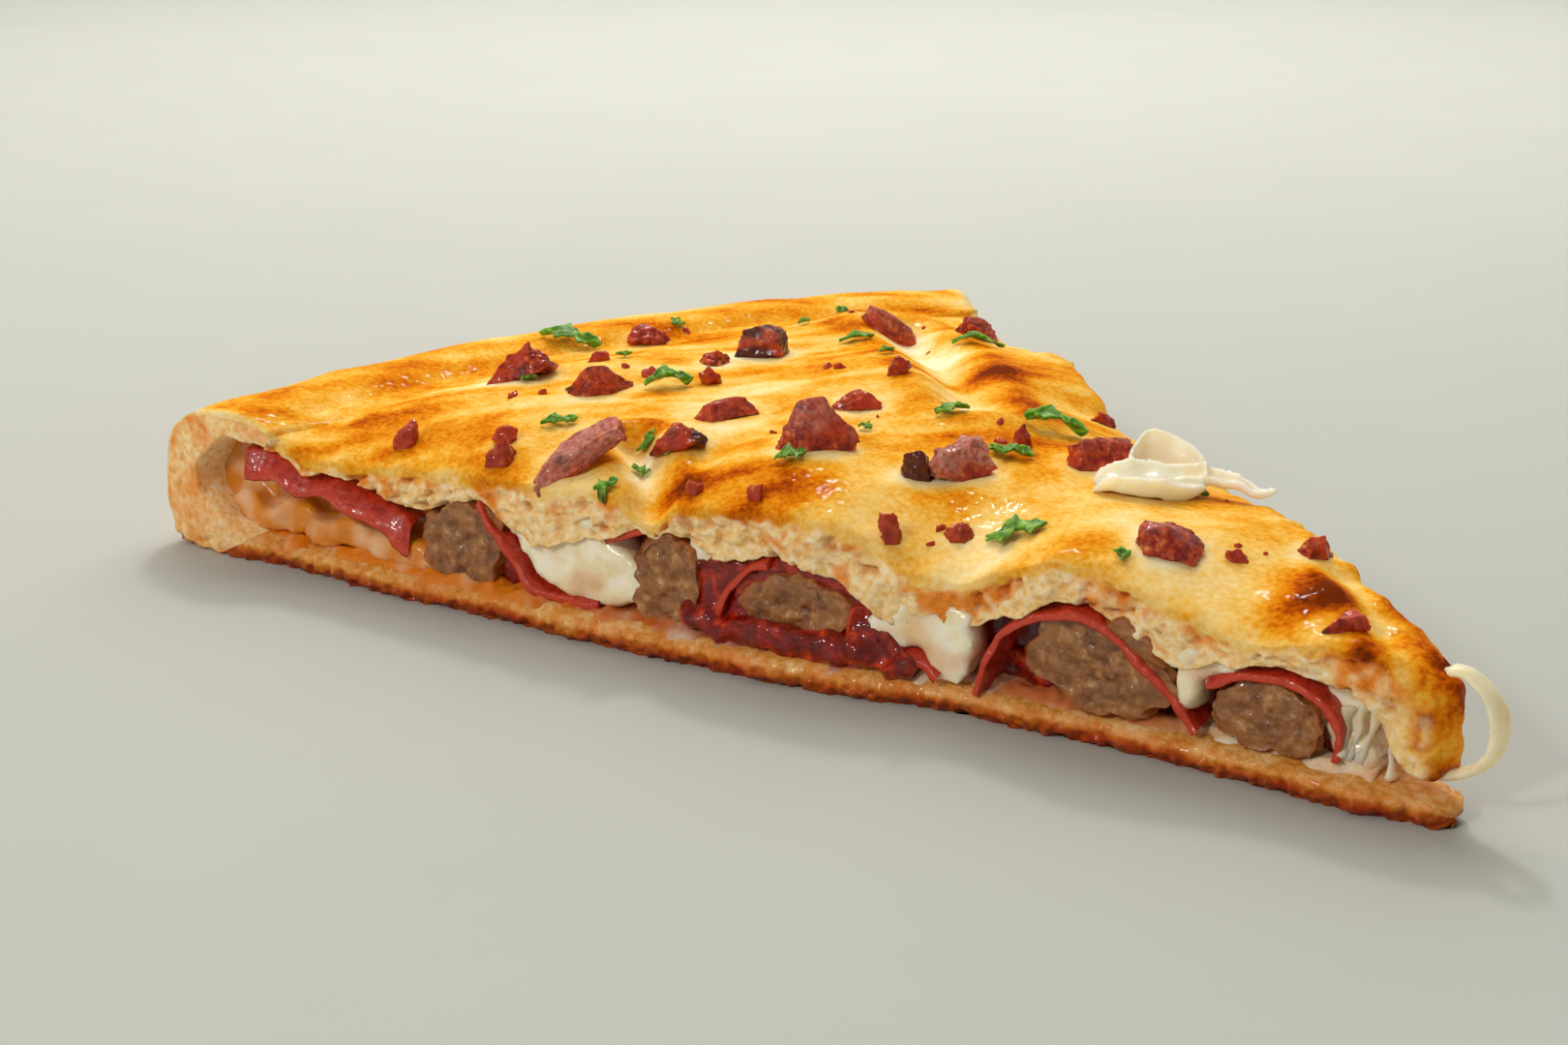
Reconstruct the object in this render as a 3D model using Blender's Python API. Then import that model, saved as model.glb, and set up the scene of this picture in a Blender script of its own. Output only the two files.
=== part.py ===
"""A slice of stuffed deep dish pizza, cut from a round pie with a top and a bottom crust.

The frame is in metres with +Z up. The slice lies on the plane z = 0 with its tip at +X and its
rim at -X, and the origin is under the middle of its box. The near cut faces -Y, the far cut +Y.
A place on the slice is given by s, the distance from the tip along a cut, and v, the share of the
way from the near cut (0) to the far cut (1). A place on a cut face is given by s, the depth n
behind the face, and the height z.
"""

import math

import bmesh
import bpy
from mathutils import Vector, noise
from mathutils.bvhtree import BVHTree

MM = 0.001

# Driving dimensions, in metres
SLICE_RADIUS = 220 * MM
WEDGE_ANGLE = math.radians(45)
TIP_X = 106.7 * MM
TOPPING_X = TIP_X - 108.6 * MM
TIP_HALF_WIDTH = 3.6 * MM
TIP_ROUNDING = 1.6 * MM
FLOOR_THICKNESS = 4.4 * MM
SEAM_S = 195 * MM
LID_THICKNESS = 7.5 * MM
LID_LEAST = 1.8 * MM
LID_START_S = 1.5 * MM
FILLING_START_S = 14 * MM
FILLING_END_S = 192 * MM
FILLING_INSET = 14.5 * MM
PEPPERONI_THICKNESS = 1.5 * MM
CHEESE_TOP_GAP = 1.6 * MM
SAUCE_THICKNESS = 1.6 * MM
LEAF_THICKNESS = 0.6 * MM
FIT_GAP = 0.4 * MM
LAYER_GAP = 0.9 * MM
REST_GAP = 0.5 * MM
EDGE_DROP = 5 * MM

# How far behind a cut face the outline and the height of the cut still show, in metres
BOW_REACH = 40 * MM
EDGE_REACH = 13 * MM

# Cells along the slice, across it and up its side, for each layer
LID_CELLS = (35, 12, 3)
FLOOR_CELLS = (34, 10, 2)
SAUCE_CELLS = (9, 4, 1)
CHEESE_CELLS = (15, 6, 1)

HALF_WEDGE = WEDGE_ANGLE / 2
NEAR, FAR = -1, 1


def profile(*points):
    """A smooth curve through points given in millimetres, as a function of metres to metres."""
    xs = [x * MM for x, _ in points]
    ys = [y * MM for _, y in points]
    steps = [(b - a) for a, b in zip(xs, xs[1:])]
    slopes = [(b - a) / step for a, b, step in zip(ys, ys[1:], steps)]
    tangents = [slopes[0]]
    for before, after in zip(slopes, slopes[1:]):
        same_way = before * after > 0
        tangents.append(2 * before * after / (before + after) if same_way else 0.0)
    tangents.append(slopes[-1])

    def value(x):
        if x <= xs[0]:
            return ys[0]
        if x >= xs[-1]:
            return ys[-1]
        i = max(k for k in range(len(xs) - 1) if xs[k] <= x)
        t = (x - xs[i]) / steps[i]
        return (
            (1 + 2 * t) * (1 - t) ** 2 * ys[i]
            + t * (1 - t) ** 2 * steps[i] * tangents[i]
            + t * t * (3 - 2 * t) * ys[i + 1]
            - t * t * (1 - t) * steps[i] * tangents[i + 1]
        )

    return value


# Heights of the top crust along the near cut, the middle and the far cut: (s, z) in millimetres
LID_TOP_NEAR = profile(
    (0, 19.5), (8, 23), (25, 20), (35, 21.7), (53, 25), (72, 20), (96, 23.8),
    (115, 23.2), (120, 21.2), (127, 23.6), (150, 21.8), (170, 20.4), (186, 20.2), (195, 22),
)
LID_TOP_MIDDLE = profile((0, 19.5), (10, 23.5), (30, 26.5), (70, 27.5), (130, 28), (175, 26), (195, 22.4))
LID_TOP_FAR = profile(
    (0, 19), (20, 23.2), (46, 24.8), (65, 24), (90, 21.6), (112, 20.8), (125, 24.5),
    (142, 26.4), (158, 23.6), (174, 21.2), (195, 22),
)
LID_UNDER_NEAR = profile(
    (0, 6.2), (4, 6.8), (8.5, 13.6), (12, 16), (24, 16.6), (36, 14.4), (43, 16.5), (52, 20), (61, 16.2), (70, 12.6),
    (80, 12), (88, 16.4), (99, 18), (109, 16.4), (119, 19.2), (131, 15.6), (141, 13),
    (153, 18.2), (165, 14.6), (183, 18.2), (195, 19.6),
)
LID_UNDER_FAR = profile(
    (0, 6.2), (4, 6.8), (9, 13), (14, 15.5), (30, 18.5), (44, 15), (60, 17.4), (78, 14), (96, 17), (112, 14.6),
    (134, 20), (152, 16), (176, 17.2), (195, 19.6),
)

# How far the cut edges stand out from a straight cut: (s, outwards) in millimetres
FLOOR_BOW_NEAR = profile((0, 0), (12, 2.6), (36, 0.8), (72, 0.4), (88, 3.4), (110, 4.4), (160, 3.6), (196, 1.2), (220, 0))
FLOOR_BOW_FAR = profile((0, 0), (30, 1.4), (70, 2.6), (120, 1.2), (170, 2.4), (220, 0))
LID_BOW_NEAR = profile((0, 0), (20, 0.6), (60, -0.4), (110, 0.8), (160, 0.2), (220, 0))
LID_BOW_FAR = profile((0, 0), (50, 0.8), (110, -0.6), (165, 0.8), (220, 0))

# Section through the rim, from the floor round the outside to the folded-in lip: (s, z) in millimetres
RIM_OUTSIDE = (
    (200, 0), (208, 0.7), (215, 2.6), (219, 6.5), (220.4, 12.5),
    (218.8, 18.6), (214, 22.8), (207, 24.9), (200.5, 24.4), (195.8, 22.4),
)
RIM_INSIDE = (
    (194, 4.6), (200, 5), (206, 6.6), (210.6, 9.6), (212, 13.2),
    (210.4, 16.6), (207, 19), (203.6, 20.4), (199.6, 20.9), (195.8, 20.3),
)

# Places on top are (x, y) in millimetres from the point on the middle line at TOPPING_X.
# Creases in the top crust, as lines with a depth and a half width
CREASES = (
    (((6, -52), (-6.5, -44), (-13, -40), (-22, -36.5)), 4.4, 3.2),
    (((-58, 46), (-44, 39), (-25, 29.5), (0, 15)), 3.0, 4.6),
    (((83, 9), (95, 2), (104, -4)), 1.6, 2.2),
)
# Swellings of the top crust: (x, y, radius, height) in millimetres
BLISTERS = (
    (86, 1, 7, 2.2), (26, -33, 15, 1.8), (58, -16, 14, 1.2), (-44, -52, 17, 1.4),
    (4, -26, 14, 1.6), (-16, 8, 18, 2.0), (16, 6, 15, 1.2), (-66, -16, 16, 1.4), (-70, 36, 18, 1.2),
)

# Chunks of sausage at the cuts: (side, s, z, half length, half height, depth, tilt in degrees)
SAUSAGES = (
    (NEAR, 155.8, 10.4, 8.6, 7.0, 11, -34),
    (NEAR, 118.2, 10.9, 6.8, 7.8, 11, 6),
    (NEAR, 95.6, 10.6, 8.8, 5.9, 11, -6),
    (NEAR, 46.4, 11.0, 11.4, 6.2, 12, -22),
    (NEAR, 23.4, 9.4, 7.9, 5.1, 8.5, 4),
    (FAR, 30.5, 10.4, 8.2, 5.2, 9.5, 8),
    (FAR, 61.5, 10.6, 9.4, 5.4, 11.5, -10),
    (FAR, 97.5, 10.6, 8.0, 5.6, 11, 4),
    (FAR, 137.5, 11.6, 10.2, 6.2, 11.5, -12),
    (FAR, 172.0, 10.2, 8.0, 5.0, 11, 14),
)
# Slices of pepperoni: (name, side, rib of (s, n, z) points, inward run (s, n, z)), in millimetres
PEPPERONI = (
    (
        "arch_by_tip", NEAR,
        ((66, 0, 4.4), (64.8, 0, 9.6), (61, 0, 15), (55.5, 0, 18.3), (50.5, 0, 18.7),
         (45, 0, 16.5), (40, 0, 12.6), (36, 0, 8.6), (33.6, 0, 5.6)),
        (-1, 11, -1),
    ),
    (
        "over_tip_sausage", NEAR,
        ((32.6, 0, 12.8), (27.6, 0, 15), (21.5, 0, 15.5), (16.4, 0, 14), (14, 0, 10.2), (14.4, 0, 6)),
        (-0.5, 9, -0.5),
    ),
    (
        "under_lid_by_rim", NEAR,
        ((200.2, 0, 18.7), (194, 0, 18.6), (188, 0, 17.3), (180, 0, 15.7), (171.5, 0, 13), (166.8, 0, 10.8)),
        (2, 12, 0.5),
    ),
    (
        "beside_rim_sausage", NEAR,
        ((152.4, 0, 18.4), (149.6, 0, 14.6), (146, 0, 10.6), (142.4, 0, 6.8), (137, 0, 5.2), (130, 0, 5.4)),
        (-1, 10, 0),
    ),
    (
        "curled_in_sauce", NEAR,
        ((107.2, 0, 5.6), (107.9, 0, 9), (106.6, 0, 12.6), (103.4, 0, 15.8), (99.8, 0, 17.2)),
        (0, 9, 0),
    ),
    ("standing_edge", NEAR, ((86.6, 0, 5.6), (86.2, 0, 9.4), (85.6, 0, 13.4)), (-8, 8, -0.6)),
    ("above_middle_sausage", NEAR, ((128.6, 0, 16.2), (125, 0, 17.9), (121.4, 0, 19)), (-1, 8, 0)),
    ("folded_scrap", NEAR, ((79.6, 0, 5.4), (77.6, 0, 7.4), (74.2, 0, 7.2), (72, 0, 5.4)), (-1, 6, 0.4)),
    (
        "arch_far_middle", FAR,
        ((51, 0, 6.4), (52, 0, 11.4), (56.5, 0, 16), (62.5, 0, 17.6), (68.5, 0, 15.8), (72.4, 0, 11), (73, 0, 6.2)),
        (1, 11, -1),
    ),
    (
        "arch_far_rim", FAR,
        ((125.4, 0, 7.6), (127, 0, 13.4), (132, 0, 18), (138.6, 0, 19.4), (144.8, 0, 17), (149, 0, 11.6)),
        (1, 11, -1),
    ),
    (
        "under_lid_far", FAR,
        ((106.6, 0, 8), (107.6, 0, 12), (111, 0, 14), (117, 0, 13.2), (121, 0, 9.6)),
        (0, 10, -0.5),
    ),
)
# Melted cheese and sauce that reach the cut faces: (side, s, z, half length, half height, depth, tilt)
CHEESE_MASSES = (
    (NEAR, 134.4, 10.8, 10.4, 6.8, 16, 14),
    (NEAR, 75.4, 11.8, 8.8, 3.4, 16, -16),
    (NEAR, 70.4, 8.6, 4.4, 4.6, 16, 0),
    (NEAR, 34.6, 11.4, 2.8, 4.4, 16, 0),
    (NEAR, 11.6, 9.4, 3.8, 4.6, 7, 0),
    (NEAR, 179, 7.4, 17, 3.4, 18, 0),
    (FAR, 16, 9.2, 6.4, 4.8, 7, 0),
    (FAR, 80.5, 9.4, 7.2, 5.8, 16, 10),
    (FAR, 155, 10.0, 8.4, 6.0, 16, -8),
)
SAUCE_MASSES = (
    (NEAR, 108.8, 9.6, 6.0, 6.4, 16, 0),
    (NEAR, 96, 5.4, 17, 2.0, 16, 0),
    (NEAR, 82, 7.8, 5.4, 3.4, 16, 10),
    (FAR, 118, 7.8, 8.6, 4.4, 16, 6),
    (FAR, 92, 5.6, 16, 1.8, 16, 0),
)

# Bacon on top: (name, x, y, length, width, thickness, turn in degrees, lift of the raised end)
BACON = (
    ("big_slab", -19, -46.5, 18.0, 10.0, 3.2, 70, 6.0),
    ("wedge", 5, -21.5, 13.8, 9.0, 6.4, 56, 0.6),
    ("dark_by_slab", -13.5, -33.5, 9.6, 6.0, 3.2, 38, 0.8),
    ("long_strip", -21, -20, 16.0, 5.0, 1.9, 76, 1.2),
    ("small_by_wedge", -9.5, -2, 7.4, 5.0, 2.4, 50, 0.5),
    ("tall_rim", -65, -31, 12.0, 7.6, 5.6, 72, 2.0),
    ("crumbly_rim", -48, -26.5, 12.8, 8.4, 4.2, 56, 0.2),
    ("rim_middle", -85, 8, 9.0, 6.4, 3.4, 54, 0.6),
    ("dark_lump", -53, 11, 11.6, 8.2, 5.6, 58, 0.6),
    ("little_rim", -51.5, -0.5, 5.6, 4.2, 2.4, 50, 0.2),
    ("far_cluster", -56, 41.5, 17.0, 9.4, 3.6, 50, 0.4),
    ("far_cluster_side", -46, 53.5, 8.6, 6.2, 3.6, 58, 0.6),
    ("round_chunk", 24, -8, 9.6, 8.6, 4.8, 60, 0.4),
    ("black_chip", 22, -15.2, 6.2, 5.0, 3.4, 38, 0.4),
    ("by_cheese_curl", 32, 10, 11.2, 7.0, 4.0, 66, 0.6),
    ("flat_square", 64, -6.5, 9.8, 9.0, 2.6, 50, 0.2),
    ("far_edge", 76, 10.5, 6.0, 5.0, 2.6, 42, 0.4),
    ("by_tip", 93.5, -3, 7.4, 3.4, 1.8, 60, 0.2),
)
# Loose parsley leaves: (name, x, y, length, width, turn in degrees, lift)
LEAVES = (
    ("by_rim", -91, -6, 9.5, 4.0, 40, 1.4),
    ("curled", -42.5, -16.5, 6.5, 5.0, 60, 2.2),
    ("near_edge", 44.5, -16.5, 6.8, 4.4, 46, 0.8),
    ("arched", 15.5, 17, 8.0, 4.2, 44, 2.4),
    ("far_side", -37.5, 46.5, 7.6, 3.0, 52, 1.0),
    ("by_chunk", 23.5, 1.5, 5.0, 3.0, 40, 1.0),
    ("middle", 8, -28.5, 3.8, 3.2, 50, 0.8),
)
# Specks fused to the top crust: (x, y, length, width, height, turn in degrees) in millimetres
SPECKS = (
    (32.6, -28.6, 3.4, 2.8, 4.6, 50), (37.8, -20.6, 4.5, 2.8, 1.8, 40), (2.0, -41.2, 2.7, 2.4, 1.8, 0),
    (12.4, -37.6, 2.6, 2.6, 2.4, 20), (-52, -60, 4.2, 3.6, 4.0, 60), (-31.6, -54.2, 5.2, 4.0, 3.8, 54),
    (-36.5, -51, 4.6, 3.0, 2.6, 20), (-16.5, 11.5, 4.4, 3.8, 3.0, 50), (20.4, 6.6, 3.0, 2.8, 4.2, 0),
    (3.4, 39.6, 3.2, 3.0, 2.6, 0), (-39.8, -9.4, 3.2, 3.0, 3.0, 0), (-50, -14.6, 3.4, 2.6, 1.8, 50),
    (-66.4, -14.4, 5.8, 2.6, 1.8, 54), (71.6, -0.2, 3.0, 2.2, 1.4, 50), (-35.2, -42, 4.8, 2.4, 1.3, 64),
    (-49.5, 28.5, 5.0, 2.6, 1.4, 54), (4.4, 5.6, 5.0, 2.4, 1.4, 80), (48, 14.4, 4.0, 2.4, 1.4, 50),
)

# Melted cheese on top, as tubes: points of (x, y, height over the crust, radius) in millimetres
CHEESE_CURL = (
    ((37, 3, 1.6, 1.8), (39.5, 7.5, 2.4, 3.2), (42.5, 12, 3.0, 3.0), (46, 16, 3.4, 1.9),
     (50, 20, 3.0, 1.8), (54, 23, 1.6, 1.4)),
    ((39, 9, 2.8, 2.2), (34.5, 15, 5.0, 1.9), (33.5, 20, 6.6, 1.5), (38, 22, 6.8, 1.4), (43, 20.5, 5.6, 1.6),
     (46, 16.5, 3.6, 1.6)),
)
# The string of cheese that hangs off the tip: (x past the tip, y, z, radius) in millimetres
TIP_STRING = (
    (0.9, 0.4, 20.4, 0.8), (3.0, 0.9, 19.9, 0.9), (5.2, 1.3, 17.8, 1.0), (6.3, 1.5, 14.6, 1.0),
    (5.8, 1.4, 11.2, 1.0), (4.2, 1.2, 8.4, 0.9), (2.4, 1.0, 6.9, 0.8),
)

# Colours as linear red, green and blue, with a roughness
FINISHES = {
    "baked_dough": ((0.60, 0.33, 0.13), 0.60),
    "glazed_crust": ((0.66, 0.26, 0.035), 0.32),
    "tomato_sauce": ((0.30, 0.022, 0.012), 0.28),
    "mozzarella": ((0.78, 0.64, 0.40), 0.35),
    "sausage": ((0.24, 0.13, 0.075), 0.55),
    "pepperoni": ((0.36, 0.04, 0.02), 0.35),
    "bacon": ((0.25, 0.045, 0.03), 0.35),
    "parsley": ((0.06, 0.16, 0.02), 0.50),
}


def material(finish):
    """The material of one finish, made once and shared."""
    found = bpy.data.materials.get(finish)
    if found:
        return found
    colour, roughness = FINISHES[finish]
    made = bpy.data.materials.new(finish)
    made.use_nodes = True
    shader = made.node_tree.nodes["Principled BSDF"]
    shader.inputs["Base Color"].default_value = (*colour, 1.0)
    shader.inputs["Roughness"].default_value = roughness
    shader.inputs["Metallic"].default_value = 0.0
    return made


def object_from(name, bm, finish=None):
    """A linked object from a bmesh, with its faces turned outwards and shaded smooth."""
    bmesh.ops.recalc_face_normals(bm, faces=bm.faces[:])
    mesh = bpy.data.meshes.new(name)
    bm.to_mesh(mesh)
    bm.free()
    obj = bpy.data.objects.new(name, mesh)
    bpy.context.scene.collection.objects.link(obj)
    if finish:
        mesh.materials.append(material(finish))
    mesh.shade_smooth()
    mesh.set_sharp_from_angle(angle=math.radians(50))
    return obj


def block(cells, place):
    """The closed surface of a box of cells, each corner put where place(u, v, w) says."""
    nu, nv, nw = cells
    bm = bmesh.new()
    corners = {}

    def corner(i, j, k):
        if (i, j, k) not in corners:
            corners[i, j, k] = bm.verts.new(place(i / nu, j / nv, k / nw))
        return corners[i, j, k]

    for i in range(nu):
        for j in range(nv):
            for k in (0, nw):
                bm.faces.new([corner(i, j, k), corner(i + 1, j, k), corner(i + 1, j + 1, k), corner(i, j + 1, k)])
    for i in range(nu):
        for k in range(nw):
            for j in (0, nv):
                bm.faces.new([corner(i, j, k), corner(i + 1, j, k), corner(i + 1, j, k + 1), corner(i, j, k + 1)])
    for j in range(nv):
        for k in range(nw):
            for i in (0, nu):
                bm.faces.new([corner(i, j, k), corner(i, j + 1, k), corner(i, j + 1, k + 1), corner(i, j, k + 1)])
    return bm


def mix(a, b, share):
    return a + (b - a) * share


def ripple(x, y, size, seed=0.0):
    """Smooth noise between about -1 and 1, with bumps of about the given size."""
    return noise.noise(Vector((x / size + seed, y / size - seed, seed)))


def plan(s, v, bow_near, bow_far):
    """The (x, y) of a place on the slice."""
    angle = (v - 0.5) * WEDGE_ANGLE
    sharpness = 1 + 5 * min(1.0, s / BOW_REACH)
    tip_width = TIP_HALF_WIDTH * math.exp(-s / (12 * MM))
    near = (bow_near(s) + tip_width) * (1 - v) ** sharpness
    far = (bow_far(s) + tip_width) * v**sharpness
    rounding = TIP_ROUNDING * (2 * v - 1) ** 2 * math.exp(-s / (6 * MM))
    x = TIP_X - s * math.cos(angle) + (near + far) * math.sin(HALF_WEDGE) - rounding
    y = s * math.sin(angle) + (far - near) * math.cos(HALF_WEDGE)
    return x, y


def to_edges(s, v):
    """The distances of a place from the near and the far cut."""
    return s * math.sin(v * WEDGE_ANGLE), s * math.sin((1 - v) * WEDGE_ANGLE)


def across(s, v, near, middle, far, reach):
    """A height that follows one curve at each cut and another between them."""
    from_near, from_far = to_edges(s, v)
    near_share = math.exp(-((from_near / reach) ** 1.4))
    far_share = math.exp(-((from_far / reach) ** 1.4))
    middle_share = (1 - near_share) * (1 - far_share)
    total = near_share + far_share + middle_share
    return (near_share * near + far_share * far + middle_share * middle) / total


def line_distance(x, y, line):
    """How far a point is from a line of (x, y) points given in millimetres."""
    best = math.inf
    for (ax, ay), (bx, by) in zip(line, line[1:]):
        start = Vector((ax * MM, ay * MM))
        along = Vector((bx * MM, by * MM)) - start
        t = max(0.0, min(1.0, (Vector((x, y)) - start).dot(along) / along.length_squared))
        best = min(best, (start + along * t - Vector((x, y))).length)
    return best


def crust_relief(x, y):
    """Blisters, creases and the gentle swelling of the top crust."""
    x -= TOPPING_X
    z = 1.1 * MM * ripple(x, y, 30 * MM, 3.1) + 0.5 * MM * ripple(x, y, 11 * MM, 7.7)
    for bx, by, radius, height in BLISTERS:
        away = math.hypot(x - bx * MM, y - by * MM) / (radius * MM)
        z += height * MM * math.exp(-away * away)
    for line, depth, half_width in CREASES:
        away = line_distance(x, y, line) / (half_width * MM)
        shoulder = 0.35 * math.exp(-((away - 2.0) ** 2))
        z += depth * MM * (shoulder - math.exp(-away * away))
    return z


def lid_crown(s, v):
    """The height of the lid's top without its relief."""
    return across(s, v, LID_TOP_NEAR(s), LID_TOP_MIDDLE(s), LID_TOP_FAR(s), EDGE_REACH)


def lid_top(s, v):
    x, y = plan(s, v, LID_BOW_NEAR, LID_BOW_FAR)
    fade = min(1.0, s / (12 * MM), (SEAM_S - s) / (8 * MM))
    return lid_crown(s, v) + crust_relief(x, y) * max(0.0, fade)


def lid_under(s, v):
    thickness = LID_THICKNESS * (1 - 0.62 * math.exp(-(((SEAM_S - s) / (14 * MM)) ** 2)))
    middle = lid_crown(s, v) - thickness
    return across(s, v, LID_UNDER_NEAR(s), middle, LID_UNDER_FAR(s), 0.8 * EDGE_REACH)


def floor_top(s, v):
    x, y = plan(s, v, FLOOR_BOW_NEAR, FLOOR_BOW_FAR)
    return FLOOR_THICKNESS + 0.3 * MM * ripple(x, y, 30 * MM, 1.3)


def packed_near_cuts(v):
    """Moves evenly spaced shares closer together beside the cuts."""
    return v - 0.085 * math.sin(2 * math.pi * v)


def crumb(x, y, z):
    """How far the torn crumb of a cut face stands out."""
    return 0.55 * MM * noise.noise(Vector((x, y, z)) / (3.2 * MM)) + 0.35 * MM * noise.noise(Vector((x, z, y)) / (7 * MM))


def pushed_out(x, y, z, v):
    """A point of a layer, with the relief of the cut face added where v is on one."""
    side = -1 if v == 0 else 1 if v == 1 else 0
    out = crumb(x, y, z) if side else 0.0
    return Vector((x + out * math.sin(HALF_WEDGE), y + side * out * math.cos(HALF_WEDGE), z))


def make_top_crust():
    """The lid: golden on top, torn crumb at the cuts, up to the seam inside the rim."""

    def place(u, v, w):
        s = mix(LID_START_S, SEAM_S, u)
        v = packed_near_cuts(v)
        x, y = plan(s, v, LID_BOW_NEAR, LID_BOW_FAR)
        z_top = lid_top(s, v)
        z = mix(min(lid_under(s, v), z_top - LID_LEAST), z_top, w)
        if 0 < w < 1:
            return pushed_out(x, y, z, v)
        return Vector((x, y, z))

    return object_from("top_crust", block(LID_CELLS, place), "glazed_crust")


def make_bottom_crust():
    """The thin floor, which turns up into the rim and folds in over the lid's edge."""
    rim_cells = len(RIM_OUTSIDE) - 1
    floor_cells = FLOOR_CELLS[0] - rim_cells - 1

    def section(i):
        """The outside and inside points of one station, as (s, z) in metres."""
        if i <= floor_cells:
            s = RIM_INSIDE[0][0] * MM * i / (floor_cells + 1)
            return (s, 0.0), (s, None)
        k = i - floor_cells - 1
        return tuple(tuple(c * MM for c in edge[k]) for edge in (RIM_OUTSIDE, RIM_INSIDE))

    def place(u, v, w):
        i = round(u * FLOOR_CELLS[0])
        v = packed_near_cuts(v)
        (s_out, z_out), (s_in, z_in) = section(i)
        if z_in is None:
            z_in = floor_top(s_in, v)
        s = mix(s_out, s_in, w)
        z = mix(z_out, z_in, w)
        wobble = 1 + 0.010 * ripple(s * math.sin(v), v, 0.21, 5.5) * (s / SLICE_RADIUS) ** 6
        x, y = plan(s * wobble, v, FLOOR_BOW_NEAR, FLOOR_BOW_FAR)
        if z > 20 * MM:
            z += 0.7 * MM * ripple(v * SLICE_RADIUS, 0.0, 26 * MM, 2.2)
        if 0 < w < 1:
            return pushed_out(x, y, z, v)
        return Vector((x, y, z))

    bm = block(FLOOR_CELLS, place)
    flat = [f for f in bm.faces if all(abs(v.co.z) < 1e-7 for v in f.verts)]
    inner = [e for e in bm.edges if len(e.link_faces) == 2 and all(f in set(flat) for f in e.link_faces)]
    bmesh.ops.dissolve_edges(bm, edges=inner, use_verts=True)
    return object_from("bottom_crust", bm, "baked_dough")


def at_cut(side, s, n, z):
    """The point of a cut face at s along it, n behind it and z up, given in metres."""
    x = TIP_X - s * math.cos(HALF_WEDGE) - n * math.sin(HALF_WEDGE)
    y = side * (s * math.sin(HALF_WEDGE) - n * math.cos(HALF_WEDGE))
    return Vector((x, y, z))


def lump(side, s, z, half_length, half_height, depth, tilt, rings=6, segments=12, rough=0.10, face=-0.4):
    """A lumpy chunk behind a cut face, sliced flat where the knife went. Sizes in millimetres."""
    bm = bmesh.new()
    bmesh.ops.create_uvsphere(bm, u_segments=segments, v_segments=rings, radius=1.0)
    turn = math.radians(tilt)
    for vert in bm.verts:
        a, b, c = vert.co
        swell = 1 + rough * noise.noise(Vector((a * 1.7 + s, b * 1.7 + z, c * 1.7 + side * 9)))
        swell += 0.5 * rough * noise.noise(Vector((a * 4 + s, b * 4, c * 4)))
        along = a * half_length * swell
        up = b * half_height * swell
        inward = (c + 0.35) * depth / 1.35 * swell
        inward = max(inward, face + 0.35 * noise.noise(Vector((a * 3 + s, b * 3, side))))
        vert.co = at_cut(
            side,
            (s + along * math.cos(turn) - up * math.sin(turn)) * MM,
            inward * MM,
            (z + along * math.sin(turn) + up * math.cos(turn)) * MM,
        )
    bmesh.ops.triangulate(bm, faces=bm.faces[:])
    return bm


def flattened(bm, lowest):
    """Keeps a piece above a height by lifting what hangs below it."""
    for vert in bm.verts:
        if vert.co.z < lowest:
            vert.co.z = lowest + 0.08 * (vert.co.z - lowest)
    return bm


def make_sausages():
    made = []
    for number, chunk in enumerate(SAUSAGES, 1):
        side = "near" if chunk[0] == NEAR else "far"
        bm = flattened(lump(*chunk), FLOOR_THICKNESS + 0.9 * MM)
        made.append(object_from(f"sausage_{side}_{number}", bm, "sausage"))
    return made


def along_rib(rib, t):
    """A point at share t along a smooth line through the rib's points, in millimetres."""
    points = [Vector(p) for p in rib]
    points = [2 * points[0] - points[1], *points, 2 * points[-1] - points[-2]]
    place = t * (len(rib) - 1)
    i = min(int(place), len(rib) - 2)
    f = place - i
    a, b, c, d = points[i : i + 4]
    return 0.5 * (2 * b + (c - a) * f + (2 * a - 5 * b + 4 * c - d) * f * f + (3 * b - a - 3 * c + d) * f**3)


def make_pepperoni(name, side, rib, run):
    """One slice: a disc cut by the knife, bent along its rib and running inwards from the cut."""
    run = Vector(run)
    cells = (round(1.5 * len(rib)), 2, 1)

    def place(u, v, w):
        here = along_rib(rib, u)
        ahead = along_rib(rib, min(1.0, u + 0.02)) - along_rib(rib, max(0.0, u - 0.02))
        depth = math.sqrt(max(0.05, 1 - (1.96 * (u - 0.5)) ** 2))
        normal = ahead.cross(run).normalized()
        out = 0.7 * (1 - v) * (0.5 + 0.5 * math.sin(9 * u + len(name)))
        point = here + run * (v * depth) - run.normalized() * out
        point += normal * (w - 0.5) * (PEPPERONI_THICKNESS / MM)
        return at_cut(side, point.x * MM, point.y * MM, point.z * MM)

    return object_from(f"pepperoni_{name}", block(cells, place), "pepperoni")


def cutter_for(obj):
    """A hidden copy, grown along its normals by the gap that neighbours keep to the object."""
    bm = bmesh.new()
    bm.from_mesh(obj.data)
    bm.normal_update()
    moves = [vert.normal * FIT_GAP for vert in bm.verts]
    for vert, move in zip(bm.verts, moves):
        vert.co += move
    cutter = object_from(f"{obj.name}_cutter", bm)
    cutter.hide_render = True
    cutter.display_type = "WIRE"
    return cutter


def overlap_boxes(a, b):
    """True if two objects' boxes overlap."""
    boxes = [[[vert.co[axis] for vert in o.data.vertices] for axis in range(3)] for o in (a, b)]
    return all(min(p) < max(q) and min(q) < max(p) for p, q in zip(*boxes))


def apply_modifiers(obj):
    """Replaces an object's mesh with what its modifiers make of it."""
    graph = bpy.context.evaluated_depsgraph_get()
    mesh = bpy.data.meshes.new_from_object(obj.evaluated_get(graph))
    obj.modifiers.clear()
    obj.data = mesh


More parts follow.
